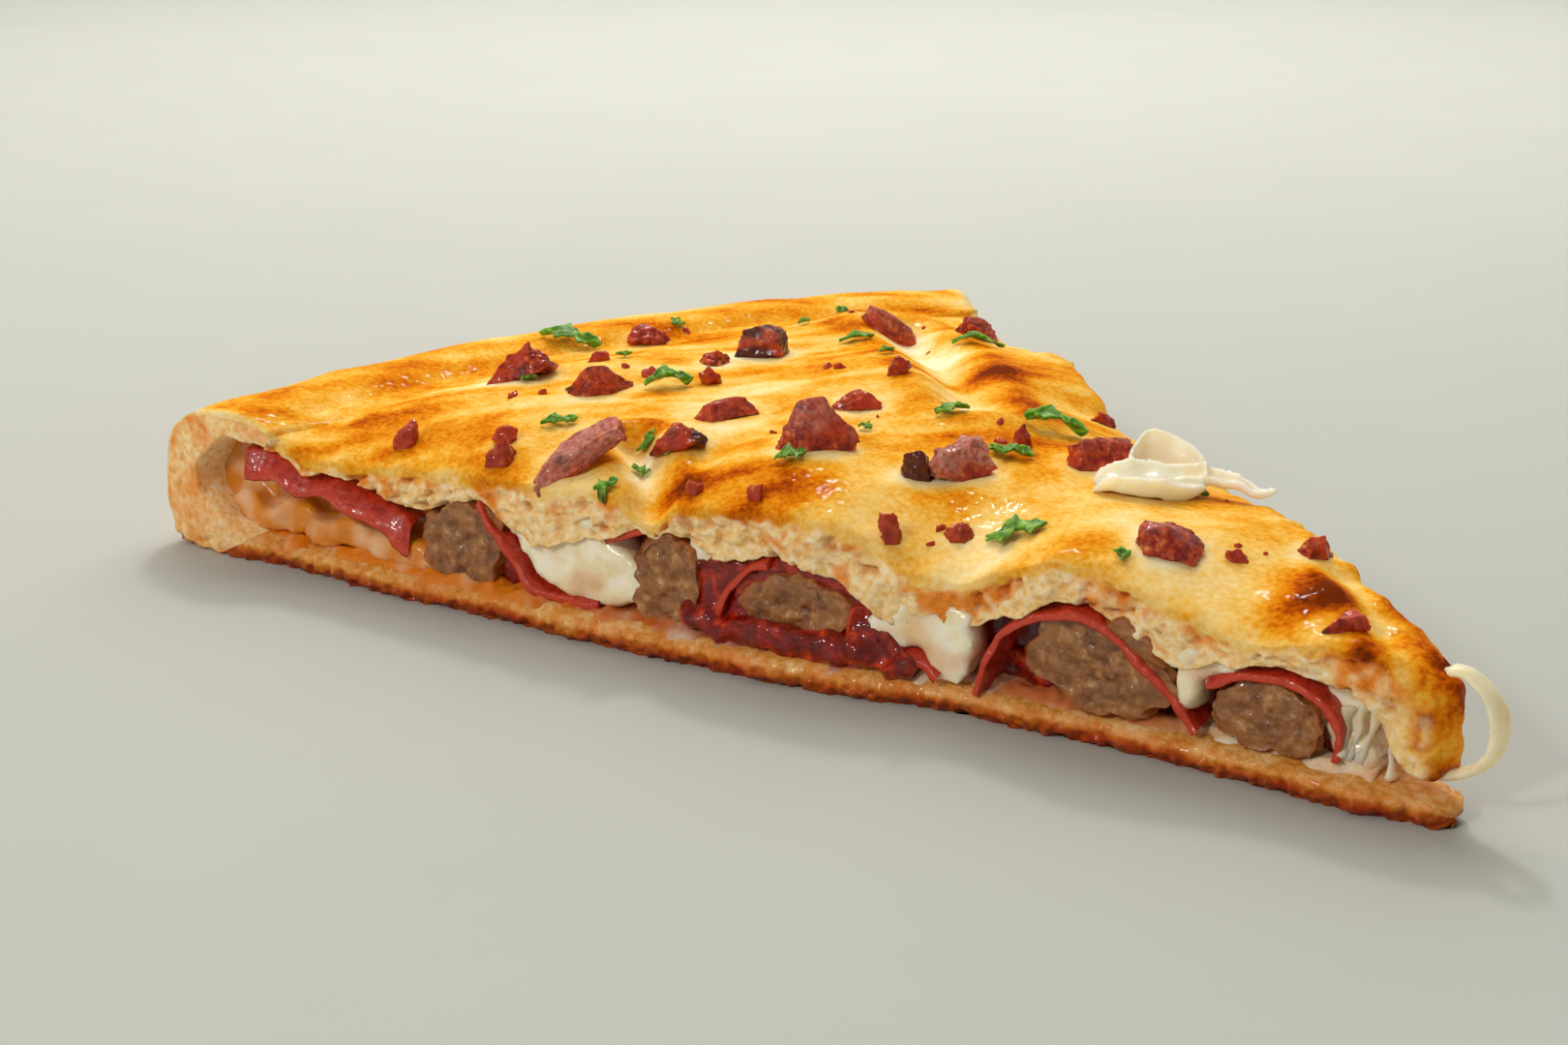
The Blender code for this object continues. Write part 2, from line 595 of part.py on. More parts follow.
def keep_largest_body(obj):
    """Drops the loose scraps that a cut leaves."""
    bm = bmesh.new()
    bm.from_mesh(obj.data)
    waiting, bodies = set(bm.verts), []
    while waiting:
        body, edge = set(), [waiting.pop()]
        while edge:
            vert = edge.pop()
            body.add(vert)
            for link in vert.link_edges:
                other = link.other_vert(vert)
                if other in waiting:
                    waiting.discard(other)
                    edge.append(other)
        bodies.append(body)
    largest = max(bodies, key=len)
    bmesh.ops.delete(bm, geom=[v for v in bm.verts if v not in largest], context="VERTS")
    bm.to_mesh(obj.data)
    bm.free()


def carve(target, cutters):
    """Cuts its neighbours out of the target, so that they fit without touching."""
    for cutter in cutters:
        if overlap_boxes(target, cutter):
            cut = target.modifiers.new("carve", "BOOLEAN")
            cut.operation = "DIFFERENCE"
            cut.solver = "EXACT"
            cut.object = cutter
            apply_modifiers(target)
    keep_largest_body(target)


def fit_in_turn(pieces, cutters):
    """Cuts each piece to fit what is already there, and adds its own cutter for the next."""
    for piece in pieces:
        own_cutter = cutter_for(piece)
        carve(piece, cutters)
        cutters.append(own_cutter)


def join_by_union(target, pieces):
    """Joins pieces to the target as one body, and removes them."""
    collection = bpy.data.collections.new("to_join")
    bpy.context.scene.collection.children.link(collection)
    for piece in pieces:
        bpy.context.scene.collection.objects.unlink(piece)
        collection.objects.link(piece)
    union = target.modifiers.new("join", "BOOLEAN")
    union.operation = "UNION"
    union.solver = "EXACT"
    union.operand_type = "COLLECTION"
    union.collection = collection
    apply_modifiers(target)
    for piece in pieces:
        bpy.data.objects.remove(piece)
    bpy.data.collections.remove(collection)


def filling_place(lower, upper):
    """Where the corners of a filling layer go: inside the cuts by the inset, between two heights."""

    def place(u, v, w):
        s = mix(FILLING_START_S, FILLING_END_S, u)
        inset = min(0.3, FILLING_INSET / (s * WEDGE_ANGLE + TIP_HALF_WIDTH))
        v = mix(inset, 1 - inset, v)
        x, y = plan(s, v, LID_BOW_NEAR, LID_BOW_FAR)
        return Vector((x, y, mix(lower(s, v), upper(s, v), w)))

    return place


def sauce_base(s, v):
    return floor_top(s, v) + LAYER_GAP


def sauce_top(s, v):
    return sauce_base(s, v) + SAUCE_THICKNESS


def cheese_base(s, v):
    return sauce_top(s, v) + LAYER_GAP


def cheese_top(s, v):
    reach = min(s, SEAM_S)
    return max(lid_under(reach, v) - CHEESE_TOP_GAP, cheese_base(s, v) + 3 * MM)


def masses(name, rows):
    """Smooth lumps of a soft filling that reach the cut faces."""
    made = []
    for number, row in enumerate(rows, 1):
        bm = flattened(lump(*row, rings=5, segments=8, rough=0.22, face=-0.2), FLOOR_THICKNESS + 0.7 * MM)
        made.append(object_from(f"{name}_mass_{number}", bm))
    return made


def make_layer(name, cells, lower, upper, rows, cutters):
    """A soft layer and its lumps at the cuts, joined and cut to fit. Gives cutters for what is above."""
    layer = object_from(name, block(cells, filling_place(lower, upper)), name)
    lumps = masses(name, rows)
    own_cutters = [cutter_for(piece) for piece in (layer, *lumps)]
    join_by_union(layer, lumps)
    carve(layer, cutters)
    return own_cutters


def surface_of(objects):
    """A function that gives the height of the highest surface of some objects at (x, y)."""
    bm = bmesh.new()
    for obj in objects:
        bm.from_mesh(obj.data)
    bmesh.ops.triangulate(bm, faces=bm.faces[:])
    tree = BVHTree.FromBMesh(bm)
    bm.free()

    def height(x, y):
        hit = tree.ray_cast(Vector((x, y, 1.0)), Vector((0, 0, -1)))[0]
        return hit.z if hit else 0.0

    return height


def on_crust(ground, x, y, turn):
    """Turns an offset from (x, y) in metres into a point that follows the crust, out past its edge too."""
    angle = math.radians(turn)
    middle = ground(TOPPING_X + x * MM, y * MM)

    def put(a, b, above):
        px = TOPPING_X + x * MM + a * math.cos(angle) - b * math.sin(angle)
        py = y * MM + a * math.sin(angle) + b * math.cos(angle)
        height = ground(px, py)
        return Vector((px, py, (height if abs(height - middle) < EDGE_DROP else middle) + above))

    return put


def make_bacon(ground, name, x, y, length, width, thickness, turn, lift):
    """An uneven piece of fried bacon lying on the crust, one end raised."""
    put = on_crust(ground, x, y, turn)
    seed = x * 0.37 + y * 0.11

    def place(u, v, w):
        ragged = 1 + 0.22 * noise.noise(Vector((u * 2.6 + seed, v * 2.6, seed)))
        taper = 1 - 0.30 * abs(2 * u - 1) ** 2
        a = (u - 0.5) * length * MM * ragged
        b = (v - 0.5) * width * MM * taper * (1 + 0.2 * noise.noise(Vector((u * 3, seed, v))))
        hump = 0.55 + 0.45 * math.sin(math.pi * min(1.0, 0.15 + 0.85 * u)) * (1 - (2 * v - 1) ** 2 * 0.5)
        hump += 0.25 * noise.noise(Vector((u * 4 + seed, v * 4, 2.0)))
        raised = lift * MM * u * u + 0.3 * MM * (2 * v - 1) ** 2
        return put(a, b, REST_GAP + raised + w * thickness * MM * max(0.35, hump))

    return object_from(f"bacon_{name}", block((4, 2, 1), place), "bacon")


def make_leaf(ground, name, x, y, length, width, turn, lift):
    """A thin wavy parsley leaf with a lobed edge."""
    put = on_crust(ground, x, y, turn)

    def place(u, v, w):
        lobes = 0.42 + 0.58 * abs(math.sin(2.5 * math.pi * (0.1 + 0.8 * u)))
        a = (u - 0.5) * length * MM
        b = (v - 0.5) * width * MM * lobes
        wave = lift * MM * (math.sin(math.pi * u) * 0.7 + (2 * v - 1) ** 2 * 0.3)
        return put(a, b, REST_GAP + wave + w * LEAF_THICKNESS)

    return object_from(f"parsley_{name}", block((5, 2, 1), place), "parsley")


def make_speck(ground, number, x, y, length, width, height, turn):
    """A small crumb of bacon or fleck of parsley, sunk a little into the crust."""
    put = on_crust(ground, x, y, turn)
    bm = bmesh.new()
    bmesh.ops.create_icosphere(bm, subdivisions=1, radius=1.0)
    for vert in bm.verts:
        a, b, c = vert.co
        swell = 1 + 0.25 * noise.noise(vert.co * 1.9 + Vector((x, y, 0)))
        vert.co = put(a * swell * length * MM / 2, b * swell * width * MM / 2, 0.0) + Vector(
            (0, 0, (c + 0.55) * height * MM * 0.65)
        )
    return object_from(f"speck_{number}", bm)


def tube(name, points, sides=6, flat=0.62):
    """A tapering tube of melted cheese through (point, radius) pairs, a little flattened."""
    bm = bmesh.new()
    rings = []
    for i, (point, radius) in enumerate(points):
        before = points[max(0, i - 1)][0]
        after = points[min(len(points) - 1, i + 1)][0]
        ahead = (after - before).normalized()
        side = ahead.cross(Vector((0, 0, 1)))
        side = side.normalized() if side.length > 0.2 else Vector((0, 1, 0))
        up = side.cross(ahead).normalized()
        turns = [2 * math.pi * k / sides for k in range(sides)]
        rings.append([bm.verts.new(point + side * radius * math.cos(t) + up * radius * flat * math.sin(t)) for t in turns])
    for lower, upper in zip(rings, rings[1:]):
        for k in range(sides):
            bm.faces.new([lower[k], lower[(k + 1) % sides], upper[(k + 1) % sides], upper[k]])
    bm.faces.new(rings[0])
    bm.faces.new(rings[-1])
    return object_from(name, bm, "mozzarella")


def smoothed(points, steps):
    """More (point, radius) pairs on a smooth line through the given ones."""
    rows = [(p[0], p[1], p[2]) for p in points]
    radii = [(p[3], 0, 0) for p in points]
    shares = [i / steps for i in range(steps + 1)]
    return [(along_rib(rows, t) * MM, along_rib(radii, t).x * MM) for t in shares]


def make_cheese_curl(ground):
    """Cheese that has melted over the far edge and curled on the crust, joined from two tubes."""
    tubes = []
    for number, line in enumerate(CHEESE_CURL):
        raised = [
            (TOPPING_X / MM + x, y, ground(TOPPING_X + x * MM, y * MM) / MM + above, radius)
            for x, y, above, radius in line
        ]
        tubes.append(tube(f"cheese_curl_{number}", smoothed(raised, 9), sides=6))
    join_by_union(tubes[0], tubes[1:])
    tubes[0].name = "cheese_curl_on_top"
    return tubes[0]


def make_tip_string():
    """The thin loop of cheese that stands off the tip."""
    points = [(TIP_X / MM + x, y, z, radius) for x, y, z, radius in TIP_STRING]
    return tube("cheese_string_at_tip", smoothed(points, 8), sides=6, flat=0.5)


def main():
    for obj in list(bpy.data.objects):
        bpy.data.objects.remove(obj)

    bottom = make_bottom_crust()
    lid = make_top_crust()
    crust_cutters = [cutter_for(bottom), cutter_for(lid)]
    ground = surface_of([lid, bottom])
    specks = [make_speck(ground, number, *row) for number, row in enumerate(SPECKS, 1)]
    join_by_union(lid, specks)
    ground = surface_of([lid, bottom])

    filling_cutters = [cutter_for(piece) for piece in make_sausages()]
    slices = (make_pepperoni(*row) for row in PEPPERONI)
    fit_in_turn(slices, filling_cutters)
    carve(lid, filling_cutters)
    carve(bottom, filling_cutters)

    cutters = crust_cutters + filling_cutters
    cutters += make_layer("tomato_sauce", SAUCE_CELLS, sauce_base, sauce_top, SAUCE_MASSES, cutters)
    cutters += make_layer("mozzarella", CHEESE_CELLS, cheese_base, cheese_top, CHEESE_MASSES, cutters)

    topping_cutters = list(crust_cutters)
    fit_in_turn((make_bacon(ground, *row) for row in BACON), topping_cutters)
    fit_in_turn((make_leaf(ground, *row) for row in LEAVES), topping_cutters)
    carve(make_cheese_curl(ground), topping_cutters)
    carve(make_tip_string(), crust_cutters)

    for cutter in {*cutters, *topping_cutters}:
        bpy.data.objects.remove(cutter)


main()
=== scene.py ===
import itertools
import math

import bpy
import numpy as np
from mathutils import Matrix, Vector, noise
from mathutils.bvhtree import BVHTree


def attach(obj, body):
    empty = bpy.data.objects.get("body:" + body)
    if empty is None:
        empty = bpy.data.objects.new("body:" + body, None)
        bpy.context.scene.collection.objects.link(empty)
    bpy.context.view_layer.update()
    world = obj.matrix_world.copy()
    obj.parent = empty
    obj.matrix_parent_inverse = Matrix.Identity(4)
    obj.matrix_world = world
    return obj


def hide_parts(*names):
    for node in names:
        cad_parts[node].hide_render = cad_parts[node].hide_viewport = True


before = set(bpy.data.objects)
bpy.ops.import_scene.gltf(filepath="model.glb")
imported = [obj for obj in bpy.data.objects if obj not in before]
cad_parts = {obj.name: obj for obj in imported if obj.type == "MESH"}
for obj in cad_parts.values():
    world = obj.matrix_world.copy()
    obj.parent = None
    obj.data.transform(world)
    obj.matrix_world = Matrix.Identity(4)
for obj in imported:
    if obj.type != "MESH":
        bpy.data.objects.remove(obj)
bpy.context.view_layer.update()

bl_info = {
    "name": "Stuffed pizza slice looks",
    "version": (1, 0, 0),
    "blender": (4, 5, 0),
    "location": "3D View > Sidebar > Pizza Slice",
    "description": "Dresses the packed slice of stuffed deep dish pizza: crusts, fillings and toppings",
    "category": "Object",
}

MM = 0.001
NEAR, FAR = -1, 1

# The slice as the solids have it, in metres
SLICE_RADIUS = 220 * MM
WEDGE_ANGLE = math.radians(45)
HALF_WEDGE = WEDGE_ANGLE / 2
TIP_X = 106.7 * MM
TOPPING_X = TIP_X - 108.6 * MM
TIP_HALF_WIDTH = 3.6 * MM
TIP_ROUNDING = 1.6 * MM
FLOOR_THICKNESS = 4.4 * MM
SEAM_S = 195 * MM
LID_THICKNESS = 7.5 * MM
LID_LEAST = 1.8 * MM
LID_START_S = 1.5 * MM
FILLING_START_S = 14 * MM
FILLING_END_S = 192 * MM
LEAF_THICKNESS = 0.35 * MM
BOW_REACH = 40 * MM
EDGE_REACH = 13 * MM
EDGE_DROP = 5 * MM


def profile(*points):
    """A smooth curve through points given in millimetres, as a function of metres to metres."""
    xs, ys = np.array(points, float).T * MM
    steps = np.diff(xs)
    slopes = np.diff(ys) / steps
    before, after = slopes[:-1], slopes[1:]
    same_way = before * after > 0
    total = np.where(same_way, before + after, 1.0)
    tangents = np.concatenate([slopes[:1], np.where(same_way, 2 * before * after / total, 0.0), slopes[-1:]])

    def value(x):
        x = np.clip(x, xs[0], xs[-1])
        i = np.clip(np.searchsorted(xs, x, side="right") - 1, 0, len(xs) - 2)
        t = (x - xs[i]) / steps[i]
        return (
            (1 + 2 * t) * (1 - t) ** 2 * ys[i]
            + t * (1 - t) ** 2 * steps[i] * tangents[i]
            + t * t * (3 - 2 * t) * ys[i + 1]
            - t * t * (1 - t) * steps[i] * tangents[i + 1]
        )

    return value


# Heights of the top crust along the near cut, the middle and the far cut: (s, z) in millimetres
LID_TOP_NEAR = profile(
    (0, 19.5), (8, 23), (25, 20), (35, 21.7), (53, 25), (72, 20), (96, 23.8),
    (115, 23.2), (120, 21.2), (127, 23.6), (150, 21.8), (170, 20.4), (186, 20.2), (195, 22),
)
LID_TOP_MIDDLE = profile((0, 19.5), (10, 23.5), (30, 26.5), (70, 27.5), (130, 28), (175, 26), (195, 22.4))
LID_TOP_FAR = profile(
    (0, 19), (20, 23.2), (46, 24.8), (65, 24), (90, 21.6), (112, 20.8), (125, 24.5),
    (142, 26.4), (158, 23.6), (174, 21.2), (195, 22),
)
LID_UNDER_NEAR = profile(
    (0, 6.2), (4, 6.8), (8.5, 13.6), (12, 16), (24, 16.6), (36, 14.4), (43, 16.5), (52, 20),
    (61, 16.2), (70, 12.6), (80, 12), (88, 16.4), (99, 18), (109, 16.4), (119, 19.2),
    (131, 15.6), (141, 13), (153, 18.2), (165, 14.6), (183, 18.2), (195, 19.6),
)
LID_UNDER_FAR = profile(
    (0, 6.2), (4, 6.8), (9, 13), (14, 15.5), (30, 18.5), (44, 15), (60, 17.4), (78, 14),
    (96, 17), (112, 14.6), (134, 20), (152, 16), (176, 17.2), (195, 19.6),
)

# How far the cut edges stand out from a straight cut: (s, outwards) in millimetres
FLOOR_BOW_NEAR = profile(
    (0, 0), (12, 2.6), (36, 0.8), (72, 0.4), (88, 3.4), (110, 4.4), (160, 3.2), (196, 0.9), (208, 0),
    (220, -1.4),
)
FLOOR_BOW_FAR = profile((0, 0), (30, 1.4), (70, 2.6), (120, 1.2), (170, 2.4), (220, 0))
LID_BOW_NEAR = profile((0, 0), (20, 0.6), (60, -0.4), (110, 0.8), (160, 0.2), (220, 0))
LID_BOW_FAR = profile((0, 0), (50, 0.8), (110, -0.6), (165, 0.8), (220, 0))

# Section through the rim, from the floor round the outside to the folded-in lip: (s, z) in millimetres
RIM_OUTSIDE = (
    (200, 0), (210, 0.2), (217.2, 0.8), (219.9, 3.4), (220.6, 9.5),
    (220.2, 15.5), (217.8, 20.6), (211.4, 24.0), (202, 24.6), (195.8, 22.9),
)
RIM_INSIDE = (
    (194, 4.6), (200, 5), (206, 6.6), (210.6, 9.6), (212, 13.2),
    (210.4, 16.6), (207, 19), (203.6, 20.4), (199.6, 20.9), (195.8, 20.3),
)

# Creases and swellings of the top crust, from the point on the middle line at TOPPING_X
CREASES = (
    (((6, -52), (-6.5, -44), (-13, -40), (-22, -36.5)), 3.2, 2.8),
    (((-58, 46), (-44, 39), (-25, 29.5), (0, 15)), 3.0, 4.6),
    (((83, 9), (95, 2), (104, -4)), 1.6, 2.2),
)
BLISTERS = (
    (86, 1, 7, 2.2), (26, -33, 15, 1.8), (58, -16, 14, 1.2), (-44, -52, 17, 1.4),
    (4, -26, 14, 1.6), (-16, 8, 18, 2.0), (16, 6, 15, 1.2), (-66, -16, 16, 1.4), (-70, 36, 18, 1.2),
)
# Baked patches: (x, y, radius, how much darker, or paler where negative), from the same point
PATCHES = (
    (86.1, 0.8, 6.0, 0.32), (11.4, -33.6, 9, 0.20), (-4, -44, 6, 0.18), (42.8, -23.2, 7, -0.34),
    (30, -24.5, 6, -0.12), (70, -9, 10, -0.26), (52, 2, 12, -0.16), (61, -18, 7, 0.22),
    (-44, -52, 9, 0.18), (-63, -60, 9, 0.18), (-30, -54, 6, 0.12), (-52, -42, 8, -0.20),
    (-20, 28, 8, 0.24), (6, 26, 9, 0.22), (-36, 38, 7, -0.34), (-50, 3, 7, -0.25),
    (-30, -8, 7, -0.18), (98, -2, 5, 0.30), (-76, 20, 10, 0.16), (-70, -34, 7, -0.2),
)

# Chunks of sausage at the cuts: (side, s, z, half length, half height, depth, tilt in degrees)
SAUSAGES = (
    (NEAR, 155.8, 10.4, 8.6, 7.0, 11, -34),
    (NEAR, 118.2, 10.9, 6.8, 7.8, 11, 6),
    (NEAR, 95.6, 10.6, 8.8, 5.9, 11, -6),
    (NEAR, 47.2, 11.3, 10.8, 6.5, 12, 5),
    (NEAR, 23.4, 9.4, 7.9, 5.1, 8.5, 4),
    (FAR, 30.5, 10.4, 8.2, 5.2, 9.5, 8),
    (FAR, 61.5, 10.6, 9.4, 5.4, 11.5, -10),
    (FAR, 97.5, 10.6, 8.0, 5.6, 11, 4),
    (FAR, 137.5, 11.6, 10.2, 6.2, 11.5, -12),
    (FAR, 172.0, 10.2, 8.0, 5.0, 11, 14),
)
# Slices of pepperoni: (name, side, rib of (s, n, z) points, inward run (s, n, z)), in millimetres
PEPPERONI = (
    (
        "arch_by_tip", NEAR,
        ((66, 0, 4.4), (64.8, 0, 9.6), (61, 0, 15), (55.5, 0, 18.3), (50.5, 0, 18.7),
         (45, 0, 16.5), (40, 0, 12.6), (36, 0, 8.6), (33.6, 0, 5.6)),
        (-1, 11, -1),
    ),
    (
        "over_tip_sausage", NEAR,
        ((32.6, 0, 12.8), (27.6, 0, 15), (21.5, 0, 15.5), (16.4, 0, 14), (14, 0, 10.2), (14.4, 0, 6)),
        (-0.5, 9, -0.5),
    ),
    (
        "under_lid_by_rim", NEAR,
        ((200.2, 0, 18.7), (194, 0, 18.6), (188, 0, 17.3), (180, 0, 15.7), (171.5, 0, 13), (166.8, 0, 10.8)),
        (2, 12, 0.5),
    ),
    (
        "beside_rim_sausage", NEAR,
        ((152.4, 0, 18.4), (149.6, 0, 14.6), (146, 0, 10.6), (142.4, 0, 6.8), (137, 0, 5.2), (130, 0, 5.4)),
        (-1, 10, 0),
    ),
    (
        "curled_in_sauce", NEAR,
        ((107.2, 0, 5.6), (107.9, 0, 9), (106.6, 0, 12.6), (103.4, 0, 15.8), (99.8, 0, 17.2)),
        (0, 9, 0),
    ),
    ("standing_edge", NEAR, ((86.6, 0, 5.6), (86.2, 0, 9.4), (85.6, 0, 13.4)), (-8, 8, -0.6)),
    ("above_middle_sausage", NEAR, ((128.6, 0, 16.2), (125, 0, 17.9), (121.4, 0, 19)), (-1, 8, 0)),
    ("folded_scrap", NEAR, ((79.6, 0, 5.4), (77.6, 0, 7.4), (74.2, 0, 7.2), (72, 0, 5.4)), (-1, 6, 0.4)),
    (
        "arch_far_middle", FAR,
        ((51, 0, 6.4), (52, 0, 11.4), (56.5, 0, 16), (62.5, 0, 17.6), (68.5, 0, 15.8), (72.4, 0, 11),
         (73, 0, 6.2)),
        (1, 11, -1),
    ),
    (
        "arch_far_rim", FAR,
        ((125.4, 0, 7.6), (127, 0, 13.4), (132, 0, 18), (138.6, 0, 19.4), (144.8, 0, 17), (149, 0, 11.6)),
        (1, 11, -1),
    ),
    (
        "under_lid_far", FAR,
        ((106.6, 0, 8), (107.6, 0, 12), (111, 0, 14), (117, 0, 13.2), (121, 0, 9.6)),
        (0, 10, -0.5),
    ),
)
# Melted cheese and sauce that reach the cut faces: as the chunks above, and how far behind the face they stop
CHEESE_MASSES = (
    (NEAR, 134.4, 12.2, 10.8, 7.4, 16, 14, 0.0),
    (NEAR, 130.5, 8.6, 4.2, 4.6, 12, 0, 0.0),
    (NEAR, 137.5, 9.4, 4.6, 3.0, 12, 10, -0.4),
    (NEAR, 75.4, 12.4, 8.8, 3.8, 16, -16, 0.0),
    (NEAR, 70.4, 9.4, 4.4, 5.2, 16, 0, -0.3),
    (NEAR, 80.5, 9.6, 3.2, 2.6, 10, 20, 0.2),
    (NEAR, 34.8, 12.6, 1.9, 4.6, 10, 4, -0.6),
    (NEAR, 32.6, 15.2, 5.0, 2.0, 10, 0, 0.0),
    (NEAR, 14.0, 10.4, 3.6, 5.6, 7, 0, 1.6),
    (NEAR, 11.6, 6.4, 2.6, 2.0, 7, 0, 0.4),
    (NEAR, 172, 6.6, 5.5, 2.6, 14, 0, 0.8),
    (NEAR, 179.5, 7.4, 4.2, 2.8, 14, 16, 1.6),
    (NEAR, 186, 6.4, 4.4, 2.4, 14, -8, 1.0),
    (NEAR, 192.5, 8.2, 3.4, 3.0, 14, 0, 2.4),
    (NEAR, 198, 6.8, 3.6, 2.2, 14, 12, 1.4),
    (NEAR, 203.5, 8.4, 3.2, 2.8, 14, 0, 2.6),
    (NEAR, 206, 12.0, 9.5, 9.0, 16, 0, 6.0),
    (NEAR, 186, 11.0, 18, 6.5, 16, 0, 8.5),
    (NEAR, 168, 6.2, 7, 2.6, 12, 0, 0.4),
    (NEAR, 143, 15.4, 5.0, 3.4, 12, 0, 0.8),
    (NEAR, 112, 15.6, 4.0, 3.0, 12, 0, 1.0),
    (FAR, 16, 9.2, 6.4, 4.8, 7, 0, 0.0),
    (FAR, 80.5, 9.4, 7.2, 5.8, 16, 10, 0.0),
    (FAR, 155, 10.0, 8.4, 6.0, 16, -8, 0.0),
    (FAR, 206, 12.0, 8.5, 8.5, 16, 0, 4.0),
)
SAUCE_MASSES = (
    (NEAR, 107.8, 10.2, 5.6, 7.0, 16, 0, 0.4),
    (NEAR, 103.0, 14.0, 4.6, 3.6, 14, 0, 0.8),
    (NEAR, 95.0, 15.2, 9.0, 3.2, 14, -4, 1.0),
    (NEAR, 85.6, 12.4, 4.6, 4.4, 14, 0, 1.0),
    (NEAR, 96, 5.8, 18, 2.4, 16, 0, -1.6),
    (NEAR, 102, 6.6, 4.2, 2.2, 8, 0, -2.4),
    (NEAR, 90.5, 6.4, 5.0, 2.0, 8, 0, -2.2),
    (NEAR, 82, 7.8, 5.4, 3.4, 16, 10, 0.0),
    (NEAR, 58, 7.0, 9.0, 3.4, 14, 0, 5.0),
    (NEAR, 147, 8.4, 4.0, 4.2, 10, 20, 2.0),
    (FAR, 118, 7.8, 8.6, 4.4, 16, 6, 0.0),
    (FAR, 92, 5.6, 16, 1.8, 16, 0, 0.0),
)

# Bacon on top: (name, x, y, length, width, thickness, turn, lift, share of char, share of frosty fat and
# painted sheen)
BACON = (
    ("big_slab", -19, -46.5, 18.0, 10.0, 3.2, 70, 6.0, 0.25, 0.8),
    ("wedge", 5, -21.5, 13.8, 9.0, 6.4, 56, 0.6, 0.10, 0.5),
    ("dark_by_slab", -13.5, -33.5, 9.6, 6.0, 3.2, 38, 0.8, 0.55, 0.2),
    ("long_strip", -21, -20, 16.0, 5.0, 1.9, 76, 1.2, 0.05, 0.1),
    ("small_by_wedge", -9.5, -2, 7.4, 5.0, 2.4, 50, 0.5, 0.10, 0.2),
    ("tall_rim", -65, -31, 12.0, 7.6, 5.6, 72, 2.0, 0.15, 0.1),
    ("crumbly_rim", -48, -26.5, 12.8, 8.4, 4.2, 56, 0.2, 0.30, 0.2),
    ("rim_middle", -85, 8, 9.0, 6.4, 3.4, 54, 0.6, 0.20, 0.2),
    ("dark_lump", -53, 11, 11.6, 8.2, 5.6, 58, 0.6, 0.80, 0.5),
    ("little_rim", -51.5, -0.5, 5.6, 4.2, 2.4, 50, 0.2, 0.20, 0.1),
    ("far_cluster", -56, 41.5, 17.0, 9.4, 3.6, 50, 0.4, 0.10, 0.4),
    ("far_cluster_side", -46, 53.5, 8.6, 6.2, 3.6, 58, 0.6, 0.20, 0.3),
    ("round_chunk", 24, -8, 9.6, 8.6, 4.8, 60, 0.4, 0.0, 0.9),
    ("black_chip", 22, -15.2, 6.2, 5.0, 3.4, 38, 0.4, 1.0, 0.0),
    ("by_cheese_curl", 32, 10, 11.2, 7.0, 4.0, 66, 0.6, 0.15, 0.2),
    ("flat_square", 64, -6.5, 9.8, 9.0, 2.6, 50, 0.2, 0.10, 0.2),
    ("far_edge", 76, 10.5, 6.0, 5.0, 2.6, 42, 0.4, 0.35, 0.1),
    ("by_tip", 93.5, -3, 7.4, 3.4, 1.8, 60, 0.2, 0.45, 0.1),
)
# How much of a ridge a piece of bacon rises to, where it isn't a plain slab
PEAKS = {"wedge": 0.95, "tall_rim": 0.7, "dark_by_slab": 0.5, "big_slab": 0.1, "round_chunk": 0.1}
# Loose parsley leaves: (name, x, y, length, width, turn, lift)
LEAVES = (
    ("by_rim", -91, -6, 9.5, 4.0, 40, 1.4),
    ("curled", -42.5, -16.5, 6.5, 5.0, 60, 2.2),
    ("near_edge", 44.5, -16.5, 6.8, 4.4, 46, 0.8),
    ("arched", 15.5, 17, 8.0, 4.2, 44, 2.4),
    ("far_side", -37.5, 46.5, 7.6, 3.0, 52, 1.0),
    ("by_chunk", 23.5, 1.5, 5.0, 3.0, 40, 1.0),
    ("middle", 8, -28.5, 3.8, 3.2, 50, 0.8),
)
# Small bits that the solids have fused to the crust: (x, y, length, width, height, turn)
BACON_BITS = (
    (32.6, -28.6, 3.4, 2.8, 4.6, 50), (37.8, -20.6, 4.5, 2.8, 1.8, 40), (2.0, -41.2, 2.7, 2.4, 1.8, 0),
    (12.4, -37.6, 2.6, 2.6, 2.4, 20), (-52, -60, 4.2, 3.6, 4.0, 60), (-31.6, -54.2, 5.2, 4.0, 3.8, 54),
    (-36.5, -51, 4.6, 3.0, 2.6, 20), (-16.5, 11.5, 4.4, 3.8, 3.0, 50), (20.4, 6.6, 3.0, 2.8, 4.2, 0),
    (3.4, 39.6, 3.2, 3.0, 2.6, 0), (-39.8, -9.4, 3.2, 3.0, 3.0, 0), (-50, -14.6, 3.4, 2.6, 1.8, 50),
    (-66.4, -14.4, 5.8, 2.6, 1.8, 54), (71.6, -0.2, 3.0, 2.2, 1.4, 50),
)
PARSLEY_BITS = (
    (-35.2, -42, 4.8, 2.4, 1.3, 64), (-49.5, 28.5, 5.0, 2.6, 1.4, 54),
    (4.4, 5.6, 5.0, 2.4, 1.4, 80), (48, 14.4, 4.0, 2.4, 1.4, 50),
)
# Flecks of chopped parsley: (x, y)
PARSLEY_FLECKS = (
    (-9.6, -49.5), (-12.2, -35.2), (-14, -40.2), (-61.2, -32), (-66.2, -9.5), (-81.8, 50.5), (-68.8, 31.5),
    (-89.8, 17.5), (63.8, -14.1), (-20.7, -34.7), (21.3, 0.7), (-30, 20), (0, -8),
)
